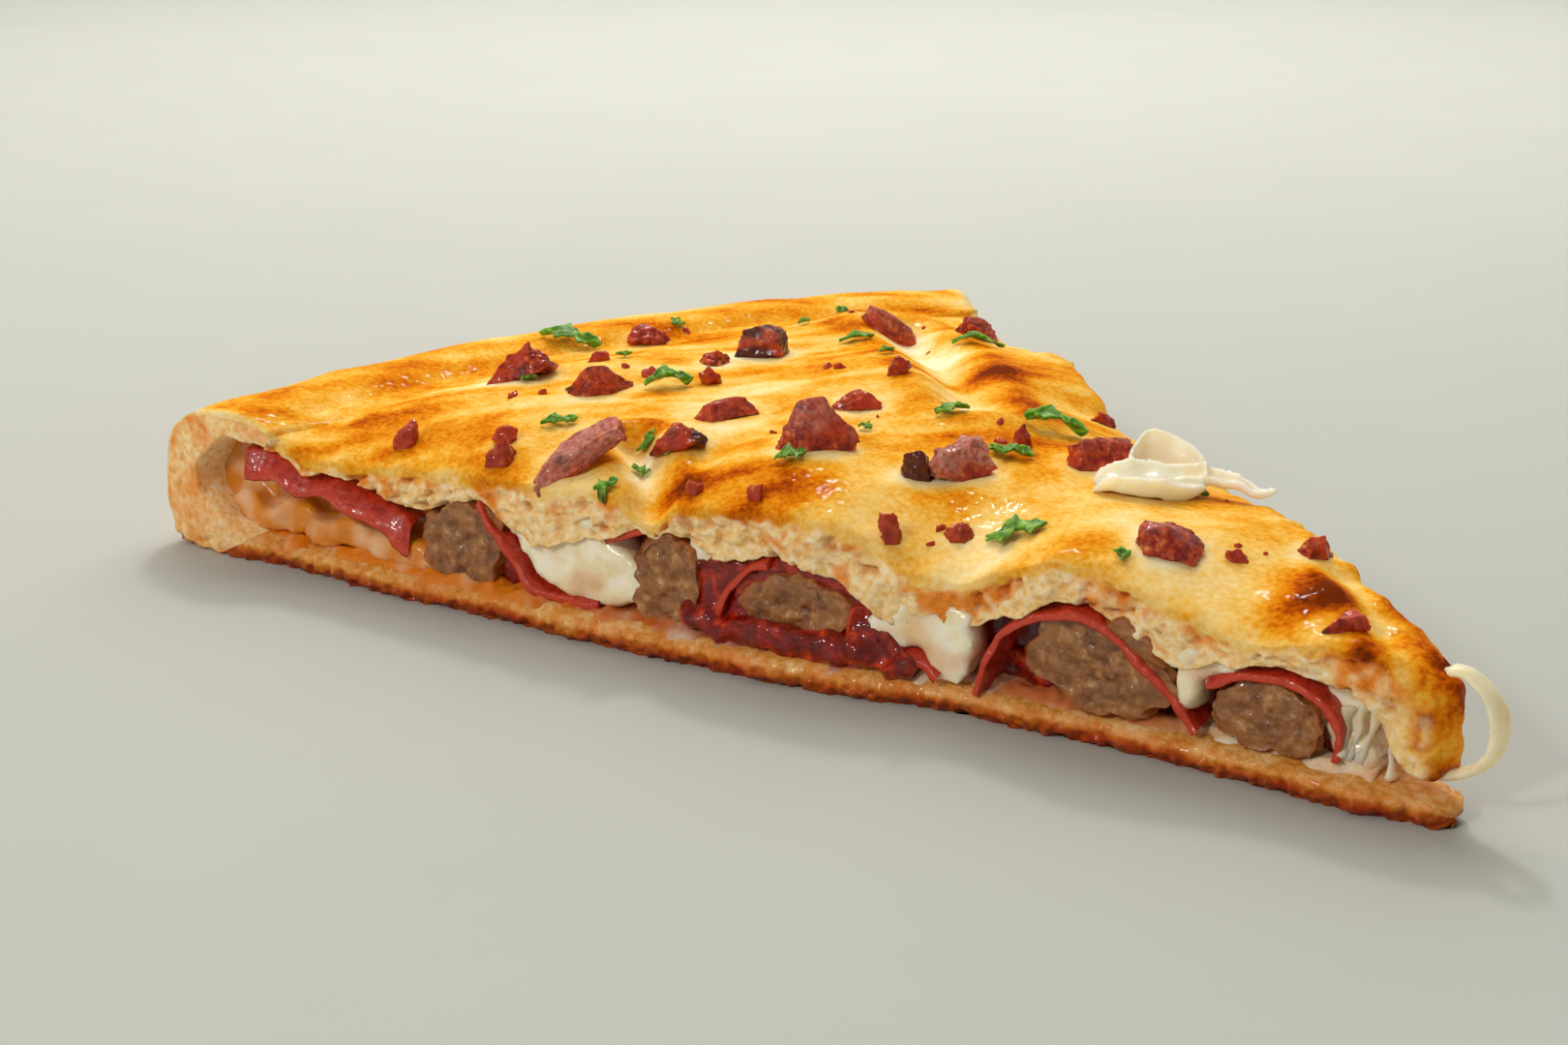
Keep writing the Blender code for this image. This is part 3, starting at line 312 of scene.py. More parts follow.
# Melted cheese on top, as sheets between pairs of (x, y, height over the crust)
CHEESE_CURL = (
    (
        ((41.0, 1.4, 0.4), (38.0, 4.4, 0.6)), ((45.0, 2.8, 1.6), (39.0, 7.8, 2.2)),
        ((48.6, 6.6, 1.8), (41.4, 12.6, 2.2)), ((50.2, 11.0, 1.4), (43.6, 16.0, 2.4)),
        ((50.6, 15.2, 1.6), (46.2, 18.6, 3.2)),
    ),
    (
        ((43.0, 7.0, 1.4), (41.0, 9.0, 3.0)), ((40.4, 10.4, 1.6), (38.4, 12.6, 5.2)),
        ((39.4, 14.6, 1.8), (37.4, 16.4, 7.0)), ((41.4, 18.0, 2.2), (40.4, 19.2, 6.8)),
        ((44.4, 18.4, 2.2), (45.4, 19.2, 5.4)), ((47.4, 15.6, 1.6), (49.0, 16.0, 4.0)),
    ),
    (
        ((46.4, 13.0, 2.2), (43.4, 17.0, 3.4)), ((49.4, 16.2, 2.6), (46.6, 19.4, 3.8)),
        ((52.0, 18.8, 2.6), (50.2, 21.4, 3.4)), ((54.6, 21.4, 2.2), (53.4, 23.4, 2.6)),
        ((56.6, 23.6, 1.8), (56.2, 24.6, 2.0)),
    ),
)
CURL_THICKNESSES = (2.5, 1.0, 1.5)
# The string off the tip: (x from the tip, y, z, radius)
TIP_STRING = (
    (-1.6, 0.2, 20.4, 1.9), (1.2, 0.6, 20.6, 1.6), (4.0, 1.0, 19.2, 1.6), (5.9, 1.4, 16.4, 1.8),
    (6.3, 1.5, 13.2, 1.8), (5.2, 1.4, 10.2, 1.7), (3.0, 1.2, 8.0, 1.6), (0.2, 1.0, 6.6, 1.8),
    (-2.4, 0.8, 6.2, 2.0),
)
# Strands of cheese between lid and floor: (side, s), and their (share of the way down, how wide)
STRANDS = ((NEAR, 7.8), (NEAR, 9.4), (NEAR, 11.4), (NEAR, 13.4), (FAR, 10), (FAR, 12.6))
STRAND_WIDTHS = ((0.0, 2.2), (0.3, 0.9), (0.7, 0.8), (1.0, 2.0))

# Rows and cells of the crusts' meshes: along the slice, across it, down a cut and underneath
LID_ROWS, LID_TOP_CELLS, LID_SIDE_CELLS, LID_UNDER_CELLS = 430, 108, 28, 18
FLOOR_ROWS, RIM_ROWS, FLOOR_CELLS_UNDER, FLOOR_SIDE_CELLS, FLOOR_CELLS_OVER = 560, 72, 32, 14, 24
# The thin apron that the rim's folded lip runs on in
APRON_ROWS = 16
APRON_REACH = 9 * MM
# Rings that close the crusts at the tip and at the rim
LID_TIP_RINGS, FLOOR_TIP_RINGS, END_RINGS = 14, 8, 3
# Sizes of the remeshed skins' cells
SAUCE_VOXEL, CHEESE_VOXEL, CURL_VOXEL = 0.8 * MM, 0.92 * MM, 0.4 * MM

# Lamps: (name, place, size, power, colour, seen in mirror images or not)
LAMPS = (
    ("window", (-0.60, 0.46, 0.80), 1.2, 13.0, (1.0, 0.985, 0.955), False),
    ("glints_from_window", (-0.58, 0.40, 0.80), 0.11, 2.4, (1.0, 0.985, 0.955), True),
    ("soft_front", (-0.15, -0.98, 0.50), 0.7, 2.4, (1.0, 0.975, 0.94), False),
    ("glints_from_front", (0.18, -0.80, 0.55), 0.11, 2.1, (1.0, 0.98, 0.95), True),
)
ROOM_COLOUR = (1.0, 0.985, 0.96, 1.0)
ROOM_LIGHT = 0.28
FLOOR_REACH = 4.0
CAMERA_PLACE = (0.2888, -0.2367, 0.1322)
CAMERA_FORWARD = (-0.7676, 0.5631, -0.3062)
CAMERA_UP = (-0.2469, 0.1811, 0.952)
LENS_MM, SENSOR_MM = 57, 36


# Numbers and surfaces
SEEDED = np.random.default_rng(20)
SLOPES = SEEDED.normal(size=(256, 3))
SLOPES /= np.linalg.norm(SLOPES, axis=1, keepdims=True)
SHUFFLE = SEEDED.permutation(256)


def bumps(points, size, seed=0):
    """Smooth noise between about -1 and 1 at an array of points, with bumps of about the given size."""
    at = np.asarray(points, float) / size + seed * np.array([17.31, 5.77, 29.13]) + 400.5
    cell = np.floor(at).astype(int)
    f = at - cell
    ease = f**3 * (f * (6 * f - 15) + 10)
    total = np.zeros(at.shape[:-1])
    for corner in itertools.product((0, 1), repeat=3):
        i, j, k = np.moveaxis(cell + corner, -1, 0)
        slope = SLOPES[SHUFFLE[(SHUFFLE[(SHUFFLE[i % 256] + j) % 256] + k) % 256]]
        weight = np.prod(np.where(corner, ease, 1 - ease), axis=-1)
        total += weight * ((f - corner) * slope).sum(-1)
    return 1.7 * total


def jitter(points, size, seeds):
    """Smooth noise for each of the three ways."""
    return np.stack([bumps(points, size, seed) for seed in seeds], -1)


def rise(x, low, high):
    """0 below low, 1 above high, and smooth between."""
    t = np.clip((x - low) / (high - low), 0, 1)
    return t * t * (3 - 2 * t)


def mix(a, b, share):
    return a + (b - a) * share


def band(x, start, full, fading, end):
    """1 between two places given in millimetres, and 0 before the start and after the end."""
    return rise(x, start * MM, full * MM) * (1 - rise(x, fading * MM, end * MM))


def ripple(x, y, size, seed=0.0):
    """The same gentle swelling as in the solids."""
    one = np.frompyfunc(lambda a, b: noise.noise(Vector((a / size + seed, b / size - seed, seed))), 2, 1)
    return one(x, y).astype(float)


def plan(s, v, bow_near, bow_far):
    """The (x, y) of places on the slice: s from the tip, v from the near cut (0) to the far cut (1)."""
    angle = (v - 0.5) * WEDGE_ANGLE
    sharpness = 1 + 5 * np.minimum(1.0, s / BOW_REACH)
    tip_width = TIP_HALF_WIDTH * np.exp(-s / (12 * MM))
    near = (bow_near(s) + tip_width) * (1 - v) ** sharpness
    far = (bow_far(s) + tip_width) * v**sharpness
    rounding = TIP_ROUNDING * (2 * v - 1) ** 2 * np.exp(-s / (6 * MM))
    x = TIP_X - s * np.cos(angle) + (near + far) * math.sin(HALF_WEDGE) - rounding
    y = s * np.sin(angle) + (far - near) * math.cos(HALF_WEDGE)
    return x, y


def to_edges(s, v):
    """The distances of places from the near and the far cut."""
    return s * np.sin(v * WEDGE_ANGLE), s * np.sin((1 - v) * WEDGE_ANGLE)


def across(s, v, near, middle, far, reach):
    """A height that follows one curve at each cut and another between them."""
    from_near, from_far = to_edges(s, v)
    near_share = np.exp(-((from_near / reach) ** 1.4))
    far_share = np.exp(-((from_far / reach) ** 1.4))
    middle_share = (1 - near_share) * (1 - far_share)
    total = near_share + far_share + middle_share
    return (near_share * near + far_share * far + middle_share * middle) / total


def line_distance(x, y, line):
    """How far points are from a line of (x, y) points given in millimetres."""
    best = np.full(np.shape(x), np.inf)
    for (ax, ay), (bx, by) in zip(line, line[1:]):
        along = np.array([bx - ax, by - ay]) * MM
        px, py = x - ax * MM, y - ay * MM
        t = np.clip((px * along[0] + py * along[1]) / (along @ along), 0, 1)
        best = np.minimum(best, np.hypot(px - t * along[0], py - t * along[1]))
    return best


def crust_relief(x, y, from_edge):
    """Blisters, creases and the gentle swelling of the top crust. Creases run out shallow at the cuts."""
    x = x - TOPPING_X
    z = 1.1 * MM * ripple(x, y, 30 * MM, 3.1) + 0.5 * MM * ripple(x, y, 11 * MM, 7.7)
    for bx, by, radius, height in BLISTERS:
        away = np.hypot(x - bx * MM, y - by * MM) / (radius * MM)
        z += height * MM * np.exp(-away * away)
    for line, depth, half_width in CREASES:
        away = line_distance(x, y, line) / (half_width * MM)
        deep = depth * MM * (1 - 0.75 * np.exp(-from_edge / (6 * MM)))
        z += deep * (0.35 * np.exp(-((away - 2.0) ** 2)) - np.exp(-away * away))
    return z


def lid_crown(s, v):
    return across(s, v, LID_TOP_NEAR(s), LID_TOP_MIDDLE(s), LID_TOP_FAR(s), EDGE_REACH)


def lid_top(s, v):
    x, y = plan(s, v, LID_BOW_NEAR, LID_BOW_FAR)
    fade = np.clip(np.minimum(s / (12 * MM), (SEAM_S - s) / (8 * MM)), 0, 1)
    return lid_crown(s, v) + crust_relief(x, y, np.minimum(*to_edges(s, v))) * fade


def lid_under(s, v):
    thickness = LID_THICKNESS * (1 - 0.62 * np.exp(-(((SEAM_S - s) / (14 * MM)) ** 2)))
    return across(s, v, LID_UNDER_NEAR(s), lid_crown(s, v) - thickness, LID_UNDER_FAR(s), 0.8 * EDGE_REACH)


def floor_top(s, v):
    x, y = plan(s, v, FLOOR_BOW_NEAR, FLOOR_BOW_FAR)
    return FLOOR_THICKNESS + 0.3 * MM * ripple(x, y, 30 * MM, 1.3)


def at_cut(side, s, n, z):
    """Points of a cut face at s along it, n behind it and z up, in metres, as an array."""
    x = TIP_X - s * math.cos(HALF_WEDGE) - n * math.sin(HALF_WEDGE)
    y = side * (s * math.sin(HALF_WEDGE) - n * math.cos(HALF_WEDGE))
    return np.stack(np.broadcast_arrays(x, y, z), -1)


def push_out(points, out, v):
    """Moves points of a crust straight out of the nearer cut face."""
    points[..., 0] += out * math.sin(HALF_WEDGE)
    points[..., 1] += np.where(v < 0.5, NEAR, FAR) * out * math.cos(HALF_WEDGE)


def place_of(points):
    """The (s, n) of points behind the nearer cut: s along it and n behind it."""
    x, y = TIP_X - points[..., 0], np.abs(points[..., 1])
    return (
        x * math.cos(HALF_WEDGE) + y * math.sin(HALF_WEDGE),
        x * math.sin(HALF_WEDGE) - y * math.cos(HALF_WEDGE),
    )


def along_rib(rib, t):
    """Points at shares t along a smooth line through the rib's points."""
    rib = np.array(rib, float)
    points = np.concatenate([2 * rib[:1] - rib[1:2], rib, 2 * rib[-1:] - rib[-2:-1]])
    place = np.asarray(t, float) * (len(rib) - 1)
    i = np.clip(place.astype(int), 0, len(rib) - 2)
    f = (place - i)[..., None]
    a, b, c, d = points[i], points[i + 1], points[i + 2], points[i + 3]
    return 0.5 * (2 * b + (c - a) * f + (2 * a - 5 * b + 4 * c - d) * f * f + (3 * b - a - 3 * c + d) * f**3)


# Meshes


def solid_from(name, points, quads, material, slot, replaced=(), **shares):
    """A riding, smooth shaded piece from arrays, with its per-point shares kept as attributes."""
    mesh = bpy.data.meshes.new(name)
    mesh.vertices.add(len(points))
    mesh.vertices.foreach_set("co", np.ascontiguousarray(points, np.float32).ravel())
    mesh.loops.add(quads.size)
    mesh.loops.foreach_set("vertex_index", np.ascontiguousarray(quads, np.int32).ravel())
    mesh.polygons.add(len(quads))
    mesh.polygons.foreach_set("loop_start", np.arange(0, quads.size, quads.shape[1], dtype=np.int32))
    mesh.update(calc_edges=True)
    mesh.validate()
    obj = bpy.data.objects.new(name, mesh)
    return finished(obj, material, slot, replaced, **shares)


def finished(obj, material, slot, replaced=(), **shares):
    """Gives a piece its material, attributes and body, and hides the nodes that it stands for."""
    mesh = obj.data
    if obj.name not in bpy.context.scene.collection.objects:
        bpy.context.scene.collection.objects.link(obj)
    for share, values in shares.items():
        attribute = mesh.attributes.new(share, "FLOAT", "POINT")
        attribute.data.foreach_set("value", np.ascontiguousarray(values, np.float32).ravel())
    mesh.materials.clear()
    mesh.materials.append(bpy.data.materials[material])
    mesh.shade_smooth()
    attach(obj, "root")
    if replaced:
        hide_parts(*replaced)
    return obj


def facing_out(points, quads):
    """The quads of a closed surface, all turned to face out."""
    a, b, c = (points[quads[:, k]] for k in (0, 1, 2))
    d = points[quads[:, 3]]
    volume = (a * np.cross(b, c)).sum() + (a * np.cross(c, d)).sum()
    return quads if volume > 0 else quads[:, ::-1]


def block(cells, place):
    """The closed surface of a box of cells: its points, put where place(u, v, w) says, quads and shares."""
    quads = []
    for axis in range(3):
        one, other = [d for d in range(3) if d != axis]
        p, q = (g.ravel() for g in np.meshgrid(np.arange(cells[one]), np.arange(cells[other]), indexing="ij"))
        for end in (0, cells[axis]):
            corners = np.zeros((p.size, 4, 3), int)
            corners[..., axis] = end
            for k, (dp, dq) in enumerate(((0, 0), (1, 0), (1, 1), (0, 1))):
                corners[:, k, one], corners[:, k, other] = p + dp, q + dq
            turned = (end == 0) != (axis == 1)
            quads.append(corners[:, ::-1] if turned else corners)
    corners = np.concatenate(quads)
    across_v, across_w = cells[1] + 1, cells[2] + 1
    keys = (corners[..., 0] * across_v + corners[..., 1]) * across_w + corners[..., 2]
    unique, quads = np.unique(keys, return_inverse=True)
    quads = quads.reshape(-1, 4)
    shares = np.stack([unique // (across_v * across_w), unique // across_w % across_v, unique % across_w], -1)
    shares = shares / np.array(cells)
    points = place(*shares.T)
    return points, facing_out(points, quads), shares


def rings_solid(rings):
    """A closed surface through rings of points, of shape (rows, points, 3), with its ends closed flat."""
    rows, around, _ = rings.shape
    i, j = (g.ravel() for g in np.meshgrid(np.arange(rows - 1), np.arange(around), indexing="ij"))
    after = (j + 1) % around
    quads = np.stack([i * around + j, (i + 1) * around + j, (i + 1) * around + after, i * around + after], -1)
    points = rings.reshape(-1, 3)
    ends = []
    for row in (0, rows - 1):
        middle = len(points)
        points = np.concatenate([points, rings[row].mean(0, keepdims=True)])
        k = np.arange(0, around, 2)
        fan = [row * around + k, row * around + (k + 1) % around, row * around + (k + 2) % around]
        fan.append(np.full(len(k), middle))
        fan = np.stack(fan, -1)
        ends.append(fan if row == 0 else fan[:, ::-1])
    quads = np.concatenate([quads, *ends])
    return points, facing_out(points, quads)


def round_lump(rings, segments):
    """The points of a unit ball, poles on Z, with its quads; the poles are tiny rings."""
    turn = np.linspace(0, 2 * np.pi, segments, endpoint=False)
    drop = np.linspace(0.012, np.pi - 0.012, rings)[:, None]
    ways = np.sin(drop) * np.cos(turn), np.sin(drop) * np.sin(turn), np.cos(drop)
    return rings_solid(np.stack(np.broadcast_arrays(*ways), -1))


def lump(side, s, z, half_length, half_height, depth, tilt, rings, segments, rough, face, relief):
    """A lumpy chunk behind a cut face, sliced flat where the knife went, and how far out its points lie."""
    ball, quads = round_lump(rings, segments)
    a, b, c = ball.T
    seed = s * 0.13 + side
    swell = 1 + rough * bumps(ball, 0.75, seed) + 0.5 * rough * bumps(ball, 0.3, seed)
    turn = math.radians(tilt)
    along = a * half_length * swell
    up = b * half_height * swell
    inward = (c + 0.35) * depth / 1.35 * swell
    flat = face + 0.35 * bumps(ball, 0.35, seed + 3)
    on_face = rise(flat - inward, -0.3, 0.3)
    inward = np.maximum(inward, flat)
    points = at_cut(
        side,
        (s + along * math.cos(turn) - up * math.sin(turn)) * MM,
        inward * MM,
        (z + along * math.sin(turn) + up * math.cos(turn)) * MM,
    )
    outward = points - at_cut(side, s * MM, 0.3 * depth * MM, z * MM)
    outward /= np.linalg.norm(outward, axis=-1, keepdims=True)
    fine = 0.55 * bumps(points, 2.6 * MM, 4) + 0.30 * bumps(points, 1.2 * MM, 5)
    points = points + outward * (fine * relief * MM * mix(1, 0.75, on_face))[:, None]
    return points, quads, on_face, np.hypot(a, b), fine


def sunk_above(points, lowest):
    """Keeps points above a height by lifting what hangs below it."""
    z = points[..., 2]
    points[..., 2] = np.where(z < lowest, lowest + 0.08 * (z - lowest), z)
    return points


def joined(parts):
    """Several (points, quads, ...) as one."""
    points, quads, start = [], [], 0
    for part_points, part_quads, *_ in parts:
        points.append(part_points)
        quads.append(part_quads + start)
        start += len(part_points)
    return np.concatenate(points), np.concatenate(quads)


def remeshed(name, parts, voxel, smooth_steps):
    """One closed skin round overlapping closed parts of (points, quads), smoothed."""
    mesh = bpy.data.meshes.new(name)
    points, quads = joined(parts)
    mesh.from_pydata(points.tolist(), [], quads.tolist())
    obj = bpy.data.objects.new(name, mesh)
    bpy.context.scene.collection.objects.link(obj)
    skin = obj.modifiers.new("skin", "REMESH")
    skin.mode = "VOXEL"
    skin.voxel_size = voxel
    softened = obj.modifiers.new("softened", "SMOOTH")
    softened.iterations = smooth_steps
    graph = bpy.context.evaluated_depsgraph_get()
    made = bpy.data.meshes.new_from_object(obj.evaluated_get(graph))
    obj.modifiers.clear()
    obj.data = made
    return obj


def points_of(mesh):
    points = np.zeros(len(mesh.vertices) * 3, np.float32)
    mesh.vertices.foreach_get("co", points)
    return points.reshape(-1, 3).astype(float)


def normals_of(mesh):
    normals = np.zeros(len(mesh.vertices) * 3, np.float32)
    mesh.vertices.foreach_get("normal", normals)
    return normals.reshape(-1, 3).astype(float)


def move_points(mesh, points):
    mesh.vertices.foreach_set("co", points.astype(np.float32).ravel())
    mesh.update()


def ground_under():
    """A function that gives the height of the crusts at arrays of (x, y)."""
    parts = []
    for name in ("top_crust_baked", "bottom_crust_baked"):
        mesh = bpy.data.objects[name].data
        corners = np.zeros(len(mesh.loops), np.int32)
        mesh.loops.foreach_get("vertex_index", corners)
        parts.append((points_of(mesh), corners.reshape(-1, 4)))
    points, quads = joined(parts)
    tree = BVHTree.FromPolygons(points.tolist(), quads.tolist())

    def one(x, y):
        hit = tree.ray_cast(Vector((x, y, 1.0)), Vector((0, 0, -1)))[0]
        return hit.z if hit else 0.0

    return lambda x, y: np.asarray(np.frompyfunc(one, 2, 1)(x, y), float)


def on_crust(ground, x, y, turn):
    """Turns offsets from (x, y) into points that follow the crust, out past its edge too."""
    angle = math.radians(turn)
    middle = ground(TOPPING_X + x * MM, y * MM)

    def put(a, b, above):
        px = TOPPING_X + x * MM + a * math.cos(angle) - b * math.sin(angle)
        py = y * MM + a * math.sin(angle) + b * math.cos(angle)
        height = ground(px, py)
        height = np.where(np.abs(height - middle) < EDGE_DROP, height, middle)
        return np.stack([px, py, height + above], -1)

    return put


# Finishes


def linear(hex_colour):
    """A linear (r, g, b, 1) colour from sRGB hex."""
    srgb = [int(hex_colour[k : k + 2], 16) / 255 for k in (1, 3, 5)]
    return (*(c / 12.92 if c <= 0.04045 else ((c + 0.055) / 1.055) ** 2.4 for c in srgb), 1.0)


def as_colour(value):
    """A linear colour from sRGB hex. Sockets, numbers and colours stay as they are."""
    return linear(value) if isinstance(value, str) else value


def connect(tree, node, inputs):
    """Sets a node's inputs: a socket is linked, and anything else is put on the socket itself."""
    for key, value in inputs.items():
        if isinstance(value, bpy.types.NodeSocket):
            tree.links.new(value, node.inputs[key])
        else:
            node.inputs[key].default_value = as_colour(value)


def add_node(tree, kind, inputs, **settings):
    """Adds a node with its settings and inputs."""
    node = tree.nodes.new(kind)
    for key, value in settings.items():
        setattr(node, key, value)
    connect(tree, node, inputs)
    return node


def new_finish(name):
    """A new material's tree, its principled shader and its place in object space."""
    made = bpy.data.materials.new(name)
    made.use_nodes = True
    tree = made.node_tree
    return tree, tree.nodes["Principled BSDF"], tree.nodes.new("ShaderNodeTexCoord").outputs["Object"]


def set_shader(tree, shader, **inputs):
    connect(tree, shader, {key.replace("_", " "): value for key, value in inputs.items()})


def ramp(tree, value, *stops):
    """A colour for a value, between stops of (value, colour)."""
    node = add_node(tree, "ShaderNodeValToRGB", {0: value})
    elements = node.color_ramp.elements
    while len(elements) < len(stops):
        elements.new(1.0)
    for element, (position, colour) in zip(elements, stops):
        element.position = position
        element.color = as_colour(colour)
    return node.outputs["Color"]


def speckle(tree, place, size, detail, roughness=0.55):
    """Noise with bumps of a real size in metres, as a 0 to 1 value."""
    inputs = {"Vector": place, "Scale": 1 / size, "Detail": detail, "Roughness": roughness}
    return add_node(tree, "ShaderNodeTexNoise", inputs).outputs["Fac"]


def spread(tree, value, low, high, to_low=0.0, to_high=1.0):
    """A value stretched from one range to another and held inside it."""
    inputs = {"Value": value, "From Min": low, "From Max": high, "To Min": to_low, "To Max": to_high}
    return add_node(tree, "ShaderNodeMapRange", inputs, interpolation_type="SMOOTHSTEP").outputs["Result"]


def blend(tree, share, first, second, mode="MIX"):
    """Two colours mixed by a share."""
    inputs = {0: share, 6: first, 7: second}
    return add_node(tree, "ShaderNodeMix", inputs, data_type="RGBA", blend_type=mode).outputs[2]


def share_of(tree, name):
    """A share that was worked out for each point of the mesh."""
    return add_node(tree, "ShaderNodeAttribute", {}, attribute_name=name).outputs["Fac"]


def calc(tree, operation, first, second):
    return add_node(tree, "ShaderNodeMath", {0: first, 1: second}, operation=operation).outputs[0]


def times(tree, first, second):
    return calc(tree, "MULTIPLY", first, second)


def wavered(tree, value, wave, amount):
    """A value moved up and down by noise."""
    return calc(tree, "ADD", value, times(tree, calc(tree, "SUBTRACT", wave, 0.5), amount))


def bumped(tree, shader, height, depth, wet_height, wet_depth):
    """Fine relief of a real depth in metres that the mesh is too coarse for. The wet coat on it is smoother,
    so that its glints stay whole."""
    for socket, relief, reach in (("Normal", height, depth), ("Coat Normal", wet_height, wet_depth)):
        inputs = {"Height": relief, "Strength": 1.0, "Distance": reach}
        connect(tree, shader, {socket: add_node(tree, "ShaderNodeBump", inputs).outputs["Normal"]})


def crust_finish(colours):
    """Egg-washed dough, baked golden. The wash gives a thin hard gloss and brown high spots, the torn crumb
    is matt and pale, and the fat that soaked into it is yellow."""
    tree, shader, place = new_finish("dough_egg_washed_and_baked")
    skin, soaked, pore_shade = share_of(tree, "skin"), share_of(tree, "soaked"), share_of(tree, "pore_shade")
    # The wash dries in freckles of 0.5 to 1 mm, and its blush changes over 4 mm
    freckles = speckle(tree, place, 0.9 * MM, 3.0)
    brown = wavered(tree, share_of(tree, "brown"), freckles, 0.5)
    brown = wavered(tree, brown, speckle(tree, place, 4 * MM, 3.0), 0.30)
    golden = ramp(
        tree, brown, (0.0, colours.pale_dough), (0.18, "#F9D890"), (0.36, "#F4C464"), (0.54, colours.golden),
        (0.70, "#D97806"), (0.84, "#B04A04"), (1.0, "#6E2804"),
    )
    # Crumb cells of about 1.2 mm show as small shaded pits
    cells = speckle(tree, place, 1.2 * MM, 4.0, 0.6)
    crumb = ramp(tree, cells, (0.22, "#DE9440"), (0.38, "#F4C478"), (0.54, colours.crumb), (0.74, "#FFF2D0"))
    crumb = blend(tree, soaked, crumb, "#EE9E2C", "MULTIPLY")
    # Painted shade: the crumb is coloured darker in its pores
    crumb = blend(tree, times(tree, pore_shade, 0.55), crumb, "#C88A48", "MULTIPLY")
    gloss = spread(tree, speckle(tree, place, 2.2 * MM, 3.0), 0.35, 0.7, 0.38, 0.56)
    set_shader(
        tree, shader, Base_Color=blend(tree, skin, crumb, golden),
        Roughness=add_node(tree, "ShaderNodeMix", {0: skin, 2: 0.6, 3: gloss}, data_type="FLOAT").outputs[0],
        IOR=1.40, Specular_IOR_Level=0.0, Subsurface_Weight=0.22, Subsurface_Scale=1.5 * MM,
        Subsurface_Radius=(1.0, 0.55, 0.25), Coat_Weight=times(tree, skin, 0.10), Coat_Roughness=0.05,
    )
    pits = times(tree, cells, calc(tree, "SUBTRACT", 1.15, skin))
    relief = calc(tree, "ADD", pits, times(tree, freckles, 0.20))
    bumped(tree, shader, relief, 0.40 * MM, speckle(tree, place, 2.0 * MM, 1.0), 0.20 * MM)


def floor_crust_finish(colours):
    """Dough fried on an oiled pan. Its foot is grainy and orange-brown, and its upper side is pale, pinkish
    from the sauce and oily."""
    tree, shader, place = new_finish("dough_pan_baked")
    grains = speckle(tree, place, 1.1 * MM, 4.0, 0.6)
    colour = ramp(
        tree, wavered(tree, share_of(tree, "brown"), grains, 0.65), (0.0, "#F6C88A"), (0.22, "#E49C46"),
        (0.42, "#CA7016"), (0.62, colours.floor_brown), (0.82, "#8A3A08"), (1.0, "#521C04"),
    )
    soaked = times(tree, share_of(tree, "soaked"), 0.9)
    set_shader(
        tree, shader, Base_Color=blend(tree, soaked, colour, "#F08A30", "MULTIPLY"),
        Roughness=spread(tree, grains, 0.3, 0.7, 0.24, 0.55), IOR=1.42, Specular_IOR_Level=0.10,
        Subsurface_Weight=0.10, Subsurface_Scale=2.0 * MM, Coat_Weight=0.3, Coat_Roughness=0.08,
    )
    bumped(tree, shader, grains, 0.45 * MM, speckle(tree, place, 1.4 * MM, 1.0), 0.3 * MM)


def sauce_finish(colours):
    """Tomato cooked down to a wet paste, so it is dark, deep and sharply glossy."""
    tree, shader, place = new_finish("tomato_sauce_cooked")
    pulp = speckle(tree, place, 2.0 * MM, 4.0)
    red = ramp(tree, pulp, (0.3, "#600A02"), (0.5, colours.sauce), (0.64, "#B82A0A"), (0.8, "#DE6A28"))
    set_shader(
        tree, shader, Base_Color=red, Roughness=0.3, IOR=1.38, Specular_IOR_Level=0.2, Subsurface_Weight=0.15,
        Subsurface_Scale=1.2 * MM, Subsurface_Radius=(1.0, 0.2, 0.1), Coat_Weight=0.9, Coat_Roughness=0.05,
    )
    bumped(tree, shader, pulp, 0.4 * MM, speckle(tree, place, 1.6 * MM, 1.0), 0.45 * MM)


def cheese_finish(
    colours, name="mozzarella_melted", oil_colour="#E09028", sauce_and_shade_colour="#7C1A0C", shade="#F0DCA8",
    **changes,
):
    """Mozzarella melted and set: smooth, milky and a little glossy, with oil and sauce drawn into it. Its
    sauce red is also painted shade where the cheese lies deep behind a cut.
    """
    tree, shader, place = new_finish(name)
    clouds = speckle(tree, place, 3.5 * MM, 3.0)
    milk = ramp(tree, clouds, (0.3, shade), (0.5, colours.cheese), (0.75, "#FFFBEA"))
    milk = blend(tree, share_of(tree, "oil"), milk, oil_colour, "MULTIPLY")
    set_shader(
        tree, shader, Base_Color=blend(tree, share_of(tree, "sauced"), milk, sauce_and_shade_colour),
        Roughness=spread(tree, clouds, 0.3, 0.7, 0.16, 0.34), IOR=1.44, Subsurface_Weight=0.3,
        Subsurface_Scale=2.5 * MM, Subsurface_Radius=(1.0, 0.75, 0.45), Coat_Weight=0.4, Coat_Roughness=0.06,
    )
    set_shader(tree, shader, **changes)
    relief = speckle(tree, place, 1.6 * MM, 3.0)
    bumped(tree, shader, relief, 0.2 * MM, speckle(tree, place, 3.0 * MM, 1.0), 0.3 * MM)


